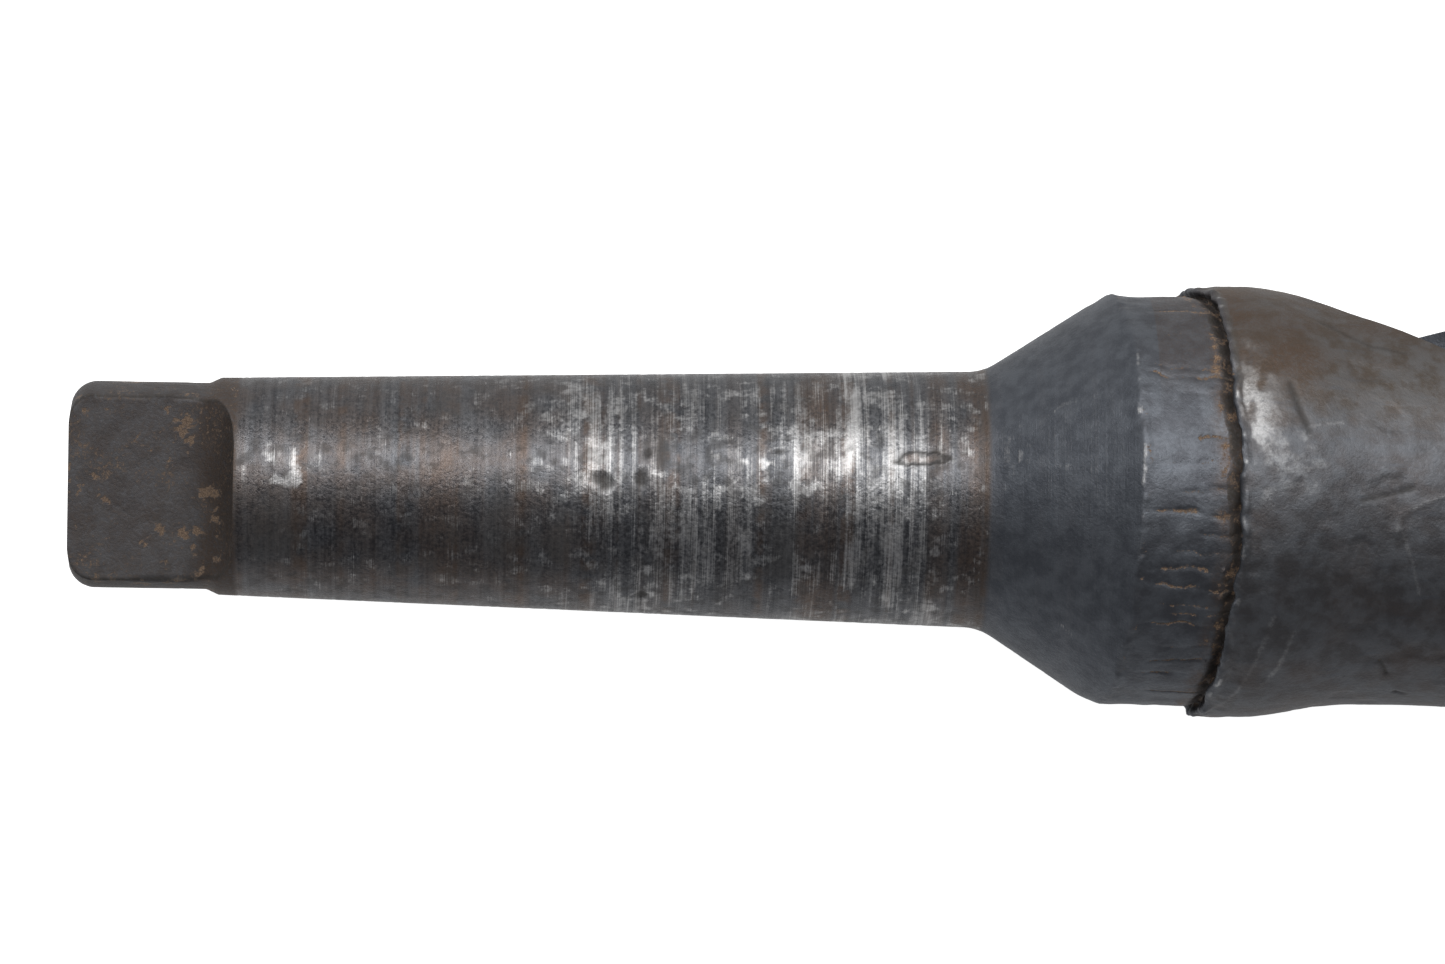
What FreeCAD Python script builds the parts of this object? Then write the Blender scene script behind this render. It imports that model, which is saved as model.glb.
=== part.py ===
"""Forged taper-shank twist drill, diameter 70 mm, Morse taper No. 5.

Frame: the drill lies down. +X runs along the turned axis from the tang to the point, +Z is up and the
tang's flats face up and down. The origin is the centre of the taper's gauge plane. Millimetres.

Three pieces lie face to face along the axis: the taper shank, the flash weld that joins it to the high
speed steel, and the fluted body. The shank's taper and cone are turned about the X axis. The neck and
the shoulder are left as forged, and the forging's own axis lies a little off the turned one.
"""
import FreeCAD, Part
import math
import os

import Sketcher

AXIS = FreeCAD.Vector(1, 0, 0)
ALONG_AXIS = FreeCAD.Rotation(FreeCAD.Vector(0, 1, 0), 90)

# name, value in millimetres or degrees, meaning
DRIVING_DIMENSIONS = [
    ("gauge_diameter", 44.399, "taper diameter at the gauge plane"),
    ("taper_ratio", 0.05263, "diameter lost for each millimetre of taper"),
    ("gauge_to_end", 149.5, "gauge plane to the end of the tang"),
    ("gauge_to_cone", 9.3, "gauge plane to the start of the cone"),
    ("tang_diameter", 36.0, "turned diameter of the tang"),
    ("tang_turned", 24.0, "length turned to the tang diameter"),
    ("tang_rise", 2.0, "length over which the tang rises to the taper"),
    ("tang_thickness", 15.9, "across the two flats"),
    ("tang_flat", 19.0, "length of the flats before they run out"),
    ("tang_runout", 10.0, "radius of the cutter that made the flats"),
    ("tang_corner", 4.5, "rounding of the tang's end"),
    ("centre_drill", 5.0, "pilot diameter of the centre hole"),
    ("centre_mouth", 10.6, "mouth diameter of the centre hole"),
    ("centre_pilot", 4.0, "length of the pilot past the seat"),
    ("centre_angle", 30.0, "half angle of the centre hole's seat"),
    ("cone_angle", 33.0, "half angle of the turned cone"),
    ("cone_root", 6.0, "fillet where the taper meets the cone"),
    ("forging_up", 3.0, "forging axis above the turned axis"),
    ("forging_side", 0.6, "forging axis to the +Y side of the turned axis"),
    ("neck_diameter", 71.8, "as-forged neck"),
    ("shoulder_diameter", 75.4, "as-forged shoulder past the lip"),
    ("weld_start", 31.5, "gauge plane to the near face of the weld"),
    ("weld_length", 6.0, "length of the weld zone"),
    ("lip_under", 43.0, "gauge plane to the lip underneath"),
    ("lip_top", 53.5, "gauge plane to the lip on top"),
    ("shoulder_end", 57.0, "gauge plane to where the shoulder begins to fade"),
    ("land_start", 82.0, "gauge plane to where the lands have their full grind"),
    ("cutting_diameter", 70.0, "across the two margins"),
    ("overall_length", 437.0, "tang end to point"),
    ("point_angle", 118.0, "included angle of the point"),
    ("helix_angle", 28.0, "at the cutting diameter"),
    ("flute_radius", 20.5, "radius of a flute's section"),
    ("web_point", 11.0, "web thickness at the point"),
    ("web_growth", 0.03, "web thickness gained for each millimetre from the point"),
    ("flute_exit", 90.0, "radius of the arc on which a flute runs out"),
    ("flute_start", 50.0, "gauge plane to the first flute's run-out"),
    ("flute_stagger", 41.5, "how much further on the second flute starts"),
    ("flute_phase", 3.9, "first flute from +Y towards +Z, at the phase plane"),
    ("phase_plane", 88.7, "gauge plane to the phase plane"),
    ("margin_width", 5.0, "width of each margin across the helix"),
    ("land_clearance", 0.8, "how far the lands lie under the margins"),
    ("clear_diameter", 95.0, "a diameter outside the whole blank"),
    ("cut_overrun", 1.0, "how far a cut runs past the face it starts from"),
]
FLUTE_COUNT = 2
FLUTE_SECTIONS = 36
# millimetres that a flute cutter runs past both ends of its flute
CUTTER_OVERRUN = 6.0
# degrees that a land cutter reaches into the flute beside it
LAND_OVERLAP = 1.0
# turns each cutter ring so that its seam stays at the bottom of the flute
SEAM_TURN = -90.0
# two lengths in millimetres, or two volumes, that differ by less are the same
CLOSE = 0.001


def make_sheet(doc):
    """Put the driving dimensions in a spreadsheet, one alias to a row."""
    sheet = doc.addObject("Spreadsheet::Sheet", "dims")
    for row, (alias, value, meaning) in enumerate(DRIVING_DIMENSIONS, start=1):
        sheet.set(f"A{row}", meaning)
        sheet.set(f"B{row}", str(value))
        sheet.setAlias(f"B{row}", alias)
    doc.recompute()
    return sheet


class Sizes:
    """The sheet's values, read by name."""

    def __init__(self, sheet):
        self.sheet = sheet

    def __getattr__(self, alias):
        return float(self.sheet.get(alias))


def origin_plane(body, role):
    for feature in body.Origin.OriginFeatures:
        if feature.Role == role:
            return feature
    raise ValueError(f"no origin plane {role}")


def new_sketch(body, name, role):
    sketch = body.newObject("Sketcher::SketchObject", name)
    sketch.AttachmentSupport = [(origin_plane(body, role), "")]
    sketch.MapMode = "FlatFace"
    return sketch


def bind(sketch, name, kind, place, value, expression):
    """Add one dimension to a sketch and tie it to an expression of the sheet."""
    index = sketch.addConstraint(Sketcher.Constraint(kind, *place, value))
    sketch.renameConstraint(index, name)
    sketch.setExpression(f"Constraints.{name}", expression)


def evaluate(sketch, expression):
    return float(FreeCAD.Units.Quantity(sketch.evalExpression(expression)).Value)


def closed_outline(sketch, corners):
    """Draw a closed polygon. Each corner is a name and the expressions of its two coordinates."""
    places = []
    for _, across, up in corners:
        places.append(FreeCAD.Vector(evaluate(sketch, across), evaluate(sketch, up), 0))
    count = len(places)
    for index in range(count):
        sketch.addGeometry(Part.LineSegment(places[index], places[(index + 1) % count]), False)
    for index in range(count):
        sketch.addConstraint(Sketcher.Constraint("Coincident", index, 2, (index + 1) % count, 1))
    for index, (name, across, up) in enumerate(corners):
        origin_to_corner = (-1, 1, index, 1)
        bind(sketch, f"{name}_across", "DistanceX", origin_to_corner, places[index].x, across)
        bind(sketch, f"{name}_up", "DistanceY", origin_to_corner, places[index].y, up)


def circle(sketch, name, across, up, diameter):
    """Draw a circle from the expressions of its centre and its diameter."""
    centre = FreeCAD.Vector(evaluate(sketch, across), evaluate(sketch, up), 0)
    radius = evaluate(sketch, diameter) / 2
    index = sketch.addGeometry(Part.Circle(centre, FreeCAD.Vector(0, 0, 1), radius), False)
    bind(sketch, f"{name}_across", "DistanceX", (-1, 1, index, 3), centre.x, across)
    bind(sketch, f"{name}_up", "DistanceY", (-1, 1, index, 3), centre.y, up)
    bind(sketch, f"{name}_diameter", "Diameter", (index,), 2 * radius, diameter)


# ---------------------------------------------------------------- taper shank

TAPER_RADIUS_AT_TANG = (
    "dims.gauge_diameter / 2"
    " - (dims.gauge_to_end - dims.tang_turned - dims.tang_rise) * dims.taper_ratio / 2"
)
TAPER_RADIUS_AT_CONE = "dims.gauge_diameter / 2 + dims.gauge_to_cone * dims.taper_ratio / 2"
CONE_RADIUS_AT_WELD = (
    f"{TAPER_RADIUS_AT_CONE} + (dims.weld_start - dims.gauge_to_cone) * tan(dims.cone_angle)"
)
SHANK_OUTLINE = [
    ("axis_end", "-dims.gauge_to_end", "0"),
    ("tang_end", "-dims.gauge_to_end", "dims.tang_diameter / 2"),
    ("tang_root", "dims.tang_turned - dims.gauge_to_end", "dims.tang_diameter / 2"),
    ("taper_small", "dims.tang_turned + dims.tang_rise - dims.gauge_to_end", TAPER_RADIUS_AT_TANG),
    ("taper_large", "dims.gauge_to_cone", TAPER_RADIUS_AT_CONE),
    ("cone_large", "dims.weld_start", CONE_RADIUS_AT_WELD),
    ("axis_weld", "dims.weld_start", "0"),
]


def add_revolution(body, sketch, kind, name):
    feature = body.newObject(kind, name)
    feature.Profile = sketch
    feature.ReferenceAxis = (origin_axis(body), [""])
    feature.Angle = 360
    return feature


def origin_axis(body):
    return origin_plane(body, "X_Axis")


def circular_edge(shape, along, radius):
    """Name the full circle that lies at one place along the axis and has one radius."""
    for number, edge in enumerate(shape.Edges, start=1):
        centre_gap = abs(edge.CenterOfMass.x - along)
        round_edge = isinstance(edge.Curve, Part.Circle) and edge.isClosed()
        if round_edge and centre_gap < CLOSE and abs(edge.Curve.Radius - radius) < CLOSE:
            return f"Edge{number}"
    raise ValueError(f"no circle of radius {radius} at {along}")


def add_fillet(body, base, edge, name, radius):
    fillet = body.newObject("PartDesign::Fillet", name)
    fillet.Base = (base, [edge])
    fillet.setExpression("Radius", radius)
    return fillet


def draw_flat_section(sketch):
    """Draw what the cutter removes above one flat: a strip that ends in the cutter's own radius."""
    outer_place = "-dims.gauge_to_end - dims.cut_overrun"
    flat_end_place = "dims.tang_flat - dims.gauge_to_end"
    outer = evaluate(sketch, outer_place)
    flat_end = evaluate(sketch, flat_end_place)
    level = evaluate(sketch, "dims.tang_thickness / 2")
    runout = evaluate(sketch, "dims.tang_runout")
    reach = evaluate(sketch, "dims.tang_diameter")
    corners = [
        FreeCAD.Vector(outer, level, 0),
        FreeCAD.Vector(flat_end, level, 0),
        FreeCAD.Vector(flat_end + runout, level + runout, 0),
        FreeCAD.Vector(flat_end + runout, reach, 0),
        FreeCAD.Vector(outer, reach, 0),
    ]
    cutter_centre = FreeCAD.Vector(flat_end, level + runout, 0)
    cutter = Part.Circle(cutter_centre, FreeCAD.Vector(0, 0, 1), runout)
    sketch.addGeometry(Part.LineSegment(corners[0], corners[1]), False)
    sketch.addGeometry(Part.ArcOfCircle(cutter, -math.pi / 2, 0), False)
    sketch.addGeometry(Part.LineSegment(corners[2], corners[3]), False)
    sketch.addGeometry(Part.LineSegment(corners[3], corners[4]), False)
    sketch.addGeometry(Part.LineSegment(corners[4], corners[0]), False)
    sides = len(corners)
    for side in range(sides):
        sketch.addConstraint(Sketcher.Constraint("Coincident", side, 2, (side + 1) % sides, 1))
    for side, direction in ((0, "Horizontal"), (2, "Vertical"), (3, "Horizontal"), (4, "Vertical")):
        sketch.addConstraint(Sketcher.Constraint(direction, side))
    bind(sketch, "outer_across", "DistanceX", (-1, 1, 0, 1), outer, outer_place)
    bind(sketch, "level_up", "DistanceY", (-1, 1, 0, 1), level, "dims.tang_thickness / 2")
    bind(sketch, "flat_end", "DistanceX", (-1, 1, 0, 2), flat_end, flat_end_place)
    bind(sketch, "cutter_across", "DistanceX", (-1, 1, 1, 3), flat_end, flat_end_place)
    bind(sketch, "cutter_radius", "Radius", (1,), runout, "dims.tang_runout")
    bind(sketch, "cutter_wall", "DistanceY", (1, 3, 1, 2), 0, "0")
    bind(sketch, "reach_up", "DistanceY", (-1, 1, 3, 1), reach, "dims.tang_diameter")


def add_tang_flats(body):
    """Mill one flat and mirror it to the other side."""
    sketch = new_sketch(body, "flat_section", "XZ_Plane")
    draw_flat_section(sketch)
    flat = body.newObject("PartDesign::Pocket", "upper_flat")
    flat.Profile = sketch
    flat.Midplane = True
    flat.setExpression("Length", "dims.tang_diameter * 2")
    body.Document.recompute()
    pair = body.newObject("PartDesign::Mirrored", "both_flats")
    pair.Originals = [flat]
    pair.MirrorPlane = (origin_plane(body, "XY_Plane"), [""])
    body.Tip = pair


def add_forging_limit(body):
    """Cut the cone back to the forging, whose axis lies a little off the turned one."""
    sketch = new_sketch(body, "forging_ring", "YZ_Plane")
    sketch.setExpression("AttachmentOffset.Base.z", "dims.weld_start")
    circle(sketch, "forging", "dims.forging_side", "dims.forging_up", "dims.neck_diameter")
    circle(sketch, "outside", "dims.forging_side", "dims.forging_up", "dims.clear_diameter")
    ring = body.newObject("PartDesign::Pocket", "forging_limit")
    ring.Profile = sketch
    ring.setExpression("Length", "dims.weld_start - dims.gauge_to_cone")


def add_centre_hole(body):
    """Bore the centre that the shank was turned on, its drill point half as deep as its radius."""
    seat_length = "(dims.centre_mouth - dims.centre_drill) / 2 / tan(dims.centre_angle)"
    seat_end = f"-dims.gauge_to_end + {seat_length}"
    sketch = new_sketch(body, "centre_section", "XY_Plane")
    closed_outline(sketch, [
        ("mouth_axis", "-dims.gauge_to_end", "0"),
        ("mouth", "-dims.gauge_to_end", "dims.centre_mouth / 2"),
        ("seat", seat_end, "dims.centre_drill / 2"),
        ("pilot", f"{seat_end} + dims.centre_pilot", "dims.centre_drill / 2"),
        ("pilot_axis", f"{seat_end} + dims.centre_pilot + dims.centre_drill / 4", "0"),
    ])
    add_revolution(body, sketch, "PartDesign::Groove", "centre_hole")


def make_taper_shank(doc, sizes):
    """Tang, Morse taper and turned cone, as one PartDesign body."""
    body = doc.addObject("PartDesign::Body", "taper_shank")
    body.Label = "taper_shank"
    outline = new_sketch(body, "shank_outline", "XY_Plane")
    closed_outline(outline, SHANK_OUTLINE)
    turned = add_revolution(body, outline, "PartDesign::Revolution", "turned_shank")
    doc.recompute()
    tang_edge = circular_edge(turned.Shape, -sizes.gauge_to_end, sizes.tang_diameter / 2)
    rounded = add_fillet(body, turned, tang_edge, "tang_rounding", "dims.tang_corner")
    doc.recompute()
    root_radius = sizes.gauge_diameter / 2 + sizes.gauge_to_cone * sizes.taper_ratio / 2
    root_edge = circular_edge(rounded.Shape, sizes.gauge_to_cone, root_radius)
    add_fillet(body, rounded, root_edge, "cone_root_fillet", "dims.cone_root")
    doc.recompute()
    cuts = [
        ("flats", add_tang_flats),
        ("forging limit", add_forging_limit),
        ("centre hole", add_centre_hole),
    ]
    for name, step in cuts:
        before = body.Shape.Volume
        step(body)
        doc.recompute()
        if not body.Shape.Volume < before - CLOSE:
            raise ValueError(f"the {name} cut nothing from the taper shank")
    return body


# ---------------------------------------------------------------- weld

def forging_cylinder(doc, name, diameter, start, length):
    """A cylinder on the forging's axis, its sizes given as expressions."""
    cylinder = doc.addObject("Part::Cylinder", name)
    cylinder.Placement = FreeCAD.Placement(FreeCAD.Vector(), ALONG_AXIS)
    cylinder.setExpression("Radius", f"({diameter}) / 2")
    cylinder.setExpression("Height", length)
    cylinder.setExpression("Placement.Base.x", start)
    cylinder.setExpression("Placement.Base.y", "dims.forging_side")
    cylinder.setExpression("Placement.Base.z", "dims.forging_up")
    return cylinder


def turned_cone(doc, name, near_radius, far_radius, start, length):
    """A cone or cylinder on the turned axis, its sizes given as expressions."""
    cone = doc.addObject("Part::Cone", name)
    cone.Placement = FreeCAD.Placement(FreeCAD.Vector(), ALONG_AXIS)
    cone.setExpression("Radius1", near_radius)
    cone.setExpression("Radius2", far_radius)
    cone.setExpression("Height", length)
    cone.setExpression("Placement.Base.x", start)
    return cone


def make_weld_joint(doc):
    """The fused zone, where the turned cone comes out through the forged surface."""
    far_radius = f"{CONE_RADIUS_AT_WELD} + dims.weld_length * tan(dims.cone_angle)"
    cone = turned_cone(
        doc, "weld_cone", CONE_RADIUS_AT_WELD, far_radius, "dims.weld_start", "dims.weld_length")
    forging = forging_cylinder(
        doc, "weld_forging", "dims.neck_diameter", "dims.weld_start", "dims.weld_length")
    weld = doc.addObject("Part::MultiCommon", "weld_joint")
    weld.Label = "weld_joint"
    weld.Shapes = [cone, forging]
    return weld


# ---------------------------------------------------------------- fluted body

WELD_END = "dims.weld_start + dims.weld_length"
POINT_LENGTH = "dims.cutting_diameter / 2 / tan(dims.point_angle / 2)"
CORNER = f"dims.overall_length - dims.gauge_to_end - {POINT_LENGTH}"


def make_shoulder(doc):
    """The forged shoulder, whose lip stands further along on top than underneath."""
    body = doc.addObject("PartDesign::Body", "forged_shoulder")
    body.setExpression("Placement.Base.x", "dims.lip_under")
    body.setExpression("Placement.Base.y", "dims.forging_side")
    body.setExpression("Placement.Base.z", "dims.forging_up")
    section = new_sketch(body, "shoulder_section", "YZ_Plane")
    circle(section, "shoulder", "0", "0", "dims.shoulder_diameter")
    pad = body.newObject("PartDesign::Pad", "shoulder_pad")
    pad.Profile = section
    pad.setExpression("Length", "dims.shoulder_end - dims.lip_under")
    doc.recompute()
    before = body.Shape.Volume
    wedge = new_sketch(body, "lip_wedge", "XZ_Plane")
    reach = "dims.shoulder_diameter / 2"
    closed_outline(wedge, [
        ("before_under", "-dims.cut_overrun", f"-{reach}"),
        ("lip_under", "0", f"-{reach}"),
        ("lip_top", "dims.lip_top - dims.lip_under", reach),
        ("before_top", "-dims.cut_overrun", reach),
    ])
    slope = body.newObject("PartDesign::Pocket", "lip_slope")
    slope.Profile = wedge
    slope.Midplane = True
    slope.setExpression("Length", "dims.shoulder_diameter * 2")
    doc.recompute()
    if not body.Shape.Volume < before - CLOSE:
        raise ValueError("the lip's slope cut nothing")
    return body


def make_fade(doc):
    """The stretch over which the forged shoulder turns into the ground lands."""
    forged = doc.addObject("Part::Circle", "fade_forged_end")
    forged.Placement = FreeCAD.Placement(FreeCAD.Vector(), ALONG_AXIS)
    forged.setExpression("Radius", "dims.shoulder_diameter / 2")
    forged.setExpression("Placement.Base.x", "dims.shoulder_end")
    forged.setExpression("Placement.Base.y", "dims.forging_side")
    forged.setExpression("Placement.Base.z", "dims.forging_up")
    ground = doc.addObject("Part::Circle", "fade_ground_end")
    ground.Placement = FreeCAD.Placement(FreeCAD.Vector(), ALONG_AXIS)
    ground.setExpression("Radius", "dims.cutting_diameter / 2")
    ground.setExpression("Placement.Base.x", "dims.land_start")
    fade = doc.addObject("Part::Loft", "shoulder_fade")
    fade.Sections = [forged, ground]
    fade.Solid = True
    return fade


def make_blank(doc):
    """Neck, shoulder, lands and point before the flutes are cut."""
    neck = forging_cylinder(
        doc, "forged_neck", "dims.neck_diameter", WELD_END, f"dims.shoulder_end - ({WELD_END})")
    radius = "dims.cutting_diameter / 2"
    lands = turned_cone(
        doc, "ground_lands", radius, radius, "dims.land_start", f"{CORNER} - dims.land_start")
    point = turned_cone(doc, "drill_point", radius, "0", CORNER, POINT_LENGTH)
    blank = doc.addObject("Part::MultiFuse", "drill_blank")
    blank.Shapes = [neck, make_shoulder(doc), make_fade(doc), lands, point]
    return blank


def corner_place(sizes):
    """Where the margins end and the point begins."""
    point_length = sizes.cutting_diameter / 2 / math.tan(math.radians(sizes.point_angle / 2))
    return sizes.overall_length - sizes.gauge_to_end - point_length


def flute_turn(sizes, along):
    """How far the first flute has turned at one place, in degrees from +Y towards +Z."""
    lead = math.pi * sizes.cutting_diameter / math.tan(math.radians(sizes.helix_angle))
    return sizes.flute_phase + (along - sizes.phase_plane) / lead * 360


def half_web(sizes, along):
    from_point = corner_place(sizes) - along
    return (sizes.web_point + sizes.web_growth * from_point) / 2


def exit_length(sizes, start):
    """How far a flute runs before it has its full depth."""
    climb = sizes.cutting_diameter / 2 - half_web(sizes, start)
    return math.sqrt(sizes.flute_exit ** 2 - (sizes.flute_exit - climb) ** 2)


def exit_lift(sizes, start, along):
    """How far the run-out arc lifts a flute at one place."""
    short_of_full = max(start + exit_length(sizes, start) - along, 0)
    return sizes.flute_exit - math.sqrt(sizes.flute_exit ** 2 - short_of_full ** 2)


def stations(first, last, count):
    return [first + (last - first) * step / (count - 1) for step in range(count)]


def flute_cutter(sizes, number):
    """A round bar that winds along one flute and leaves the blank along the run-out arc."""
    start = sizes.flute_start + number * sizes.flute_stagger
    last = sizes.overall_length - sizes.gauge_to_end + CUTTER_OVERRUN
    sections = []
    for along in stations(start - CUTTER_OVERRUN, last, FLUTE_SECTIONS):
        lift = exit_lift(sizes, start, along)
        distance = half_web(sizes, along) + sizes.flute_radius + lift
        turn = flute_turn(sizes, along) + number * 360 / FLUTE_COUNT
        ring = Part.Circle(FreeCAD.Vector(), AXIS, sizes.flute_radius).toBSpline()
        spin = FreeCAD.Rotation(AXIS, turn + SEAM_TURN)
        place = FreeCAD.Placement(on_section(along, distance, turn), spin)
        ring.transform(place.toMatrix())
        sections.append(Part.Wire([ring.toShape()]))
    return Part.makeLoft(sections, True)


def land_cutter(sizes, number):
    """The thin helical layer ground off one land behind its margin."""
    radius = sizes.cutting_diameter / 2
    margin = math.degrees(sizes.margin_width / math.cos(math.radians(sizes.helix_angle)) / radius)
    floor = radius - sizes.land_clearance
    roof = radius + sizes.land_clearance
    last = sizes.overall_length - sizes.gauge_to_end
    sections = []
    for along in stations(sizes.land_start, last, FLUTE_SECTIONS):
        edge = half_opening(sizes, along)
        middle = flute_turn(sizes, along) + number * 360 / FLUTE_COUNT
        heel = middle + edge - 360 / FLUTE_COUNT
        margin_foot = middle - edge - margin
        sections.append(ring_sector(along, floor, roof, heel - LAND_OVERLAP, margin_foot))
    return Part.makeLoft(sections, True)


def half_opening(sizes, along):
    """Half the angle that a full-depth flute opens at the cutting diameter, in degrees."""
    radius = sizes.cutting_diameter / 2
    distance = half_web(sizes, along) + sizes.flute_radius
    cosine = (radius ** 2 + distance ** 2 - sizes.flute_radius ** 2) / (2 * radius * distance)
    return math.degrees(math.acos(cosine))


def on_section(along, radius, turn):
    """A point of one cross-section, turned from +Y towards +Z."""
    angle = math.radians(turn)
    return FreeCAD.Vector(along, radius * math.cos(angle), radius * math.sin(angle))


def ring_sector(along, inner, outer, first, last):
    middle = (first + last) / 2
    """A closed wire: two arcs about the axis and the two straight sides that join them."""
    inside = [on_section(along, inner, turn) for turn in (first, middle, last)]
    outside = [on_section(along, outer, turn) for turn in (last, middle, first)]
    rise = Part.LineSegment(inside[-1], outside[0])
    fall = Part.LineSegment(outside[-1], inside[0])
    sides = [Part.Arc(*inside), rise, Part.Arc(*outside), fall]
    return Part.Wire([side.toShape() for side in sides])


def make_fluted_body(doc, sizes):
    """Cut both flutes and the land clearance from the blank."""
    blank = make_blank(doc)
    cutters = []
    for name, cutter in (("flute", flute_cutter), ("land", land_cutter)):
        for number in range(FLUTE_COUNT):
            feature = doc.addObject("Part::Feature", f"{name}_cutter_{number + 1}")
            feature.Shape = cutter(sizes, number)
            feature.Placement = FreeCAD.Placement()
            cutters.append(feature)
    work = blank
    for number, cutter in enumerate(cutters, start=1):
        cut = doc.addObject("Part::Cut", f"body_cut_{number}")
        cut.Base = work
        cut.Tool = cutter
        cut.Refine = False
        work = cut
    work.Label = "fluted_body"
    return work


# ---------------------------------------------------------------- checks and files

def check_objects(doc):
    """Stop at any object that failed to compute."""
    for item in doc.Objects:
        if "Invalid" in item.State or "Error" in item.State:
            raise ValueError(f"{item.Name} failed: {item.State}")


def write_parts(nodes):
    os.makedirs("parts", exist_ok=True)
    for node in nodes:
        shape = node.Shape
        if shape.isNull() or not shape.isValid():
            raise ValueError(f"{node.Label} has no valid shape")
        if len(shape.Solids) != 1:
            raise ValueError(f"{node.Label} has {len(shape.Solids)} solids")
        shape.exportStep(f"parts/{node.Label}.step")
        print(node.Label, round(shape.Volume), "mm3", shape.BoundBox)


def main():
    doc = FreeCAD.newDocument("twist_drill")
    sizes = Sizes(make_sheet(doc))
    nodes = [make_taper_shank(doc, sizes), make_weld_joint(doc), make_fluted_body(doc, sizes)]
    doc.recompute()
    check_objects(doc)
    write_parts(nodes)


main()
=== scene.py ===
"""Looks of a forged taper-shank twist drill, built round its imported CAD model.

The drill lies down, with +X from the tang to the point. Lengths are millimetres until a mesh is made.
A turn is an angle about the X axis in degrees, from +Y towards +Z, so a turn of 90 faces straight up.
Three pieces stand for the three CAD nodes: the taper shank, the weld and the fluted body.
"""

import math

import bpy
import numpy as np
from mathutils import Euler, Matrix, Vector


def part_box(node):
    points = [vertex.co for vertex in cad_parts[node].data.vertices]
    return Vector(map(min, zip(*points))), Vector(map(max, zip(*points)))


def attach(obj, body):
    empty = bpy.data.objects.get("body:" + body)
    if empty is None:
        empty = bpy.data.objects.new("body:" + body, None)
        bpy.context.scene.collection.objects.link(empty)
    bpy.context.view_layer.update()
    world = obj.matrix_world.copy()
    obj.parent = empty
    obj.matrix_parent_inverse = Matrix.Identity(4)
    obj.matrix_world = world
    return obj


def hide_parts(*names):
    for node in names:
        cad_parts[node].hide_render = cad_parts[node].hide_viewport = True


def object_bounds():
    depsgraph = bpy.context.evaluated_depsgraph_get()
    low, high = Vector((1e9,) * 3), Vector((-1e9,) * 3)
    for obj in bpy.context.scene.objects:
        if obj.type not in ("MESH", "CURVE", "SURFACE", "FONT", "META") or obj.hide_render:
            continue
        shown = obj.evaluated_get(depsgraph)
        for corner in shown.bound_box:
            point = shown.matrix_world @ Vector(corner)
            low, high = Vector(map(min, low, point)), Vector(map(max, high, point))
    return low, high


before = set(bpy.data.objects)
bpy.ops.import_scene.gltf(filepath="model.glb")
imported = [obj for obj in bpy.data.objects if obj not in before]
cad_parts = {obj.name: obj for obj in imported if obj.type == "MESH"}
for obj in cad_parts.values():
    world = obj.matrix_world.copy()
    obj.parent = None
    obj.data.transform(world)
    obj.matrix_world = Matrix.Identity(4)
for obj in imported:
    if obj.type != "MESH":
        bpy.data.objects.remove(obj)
cad_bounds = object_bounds()

MM = 0.001

# places along the axis, from the CAD nodes
TANG_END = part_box("taper_shank")[0].x / MM
WELD_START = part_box("weld_joint")[0].x / MM
WELD_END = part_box("weld_joint")[1].x / MM
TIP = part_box("fluted_body")[1].x / MM
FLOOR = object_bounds()[0].z / MM

# taper shank
GAUGE_RADIUS = 22.2
TAPER_SLOPE = 0.05263 / 2
TANG_RADIUS = 18.0
TANG_ROOT = TANG_END + 24.0
TAPER_SMALL = TANG_ROOT + 2.0
TANG_CORNER = 4.5
FLAT_HEIGHT = 7.95
FLAT_END = TANG_END + 19.0
FLAT_RUNOUT = 10.0
FLAT_WALL = FLAT_END + FLAT_RUNOUT
HOLE_MOUTH = 5.3
HOLE_PILOT = 2.5
HOLE_SEAT = 4.85
HOLE_DEPTH = 10.1
CONE_START = 9.3
CONE_SLOPE = math.tan(math.radians(33))
ROOT_ROUNDING = 1.6

# forging
FORGING_UP = 3.0
FORGING_SIDE = 0.6
NECK_RADIUS = 35.9
SKIN_DEPTH = 0.3
SHOULDER_RISE = 1.8
SHOULDER_END = 57.0
LAND_START = 82.0

# flutes and point
CUTTING_RADIUS = 35.0
LEAD = math.pi * 2 * CUTTING_RADIUS / math.tan(math.radians(28))
POINT_SLOPE = 1 / math.tan(math.radians(59))
CORNER = TIP - CUTTING_RADIUS * POINT_SLOPE
FLUTE_RADIUS = 20.5
WEB_POINT = 11.0
WEB_GROWTH = 0.03
FLUTE_EXIT = 90.0
FLUTE_START = 50.0
FLUTE_STAGGER = 41.5
FLUTE_PHASE = 3.9
PHASE_PLANE = 88.7
MARGIN_TURN = math.degrees(5.0 / math.cos(math.radians(28)) / CUTTING_RADIUS)
LAND_CLEARANCE = 0.8


# ---- numbers on arrays

SURE_MISS = 1e3
NOISE_START = 1000.0
NOISE_GAIN = 1.4
TILT = np.array(Euler((0.7, 0.5, 0.9)).to_matrix())


def ramp(low, high, value):
    """A smooth rise from 0 at the low end to 1 at the high end, or a fall where the ends are swapped."""
    share = np.clip((value - low) / (high - low), 0, 1)
    return share * share * (3 - 2 * share)


def smooth_min(a, b, width):
    """The lesser of two surfaces, with the edge between them rounded over a width."""
    share = np.clip(0.5 + 0.5 * (b - a) / width, 0, 1)
    return b + (a - b) * share - width * share * (1 - share)


def smooth_max(a, b, width):
    return -smooth_min(-a, -b, width)


def bell(value, middle, width):
    """One at the middle, falling smoothly to nothing on both sides."""
    return np.exp(-((value - middle) / width) ** 2)


def limited(value, most=1):
    """A value held between nothing and the most it may be."""
    return np.clip(value, 0, most)


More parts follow.
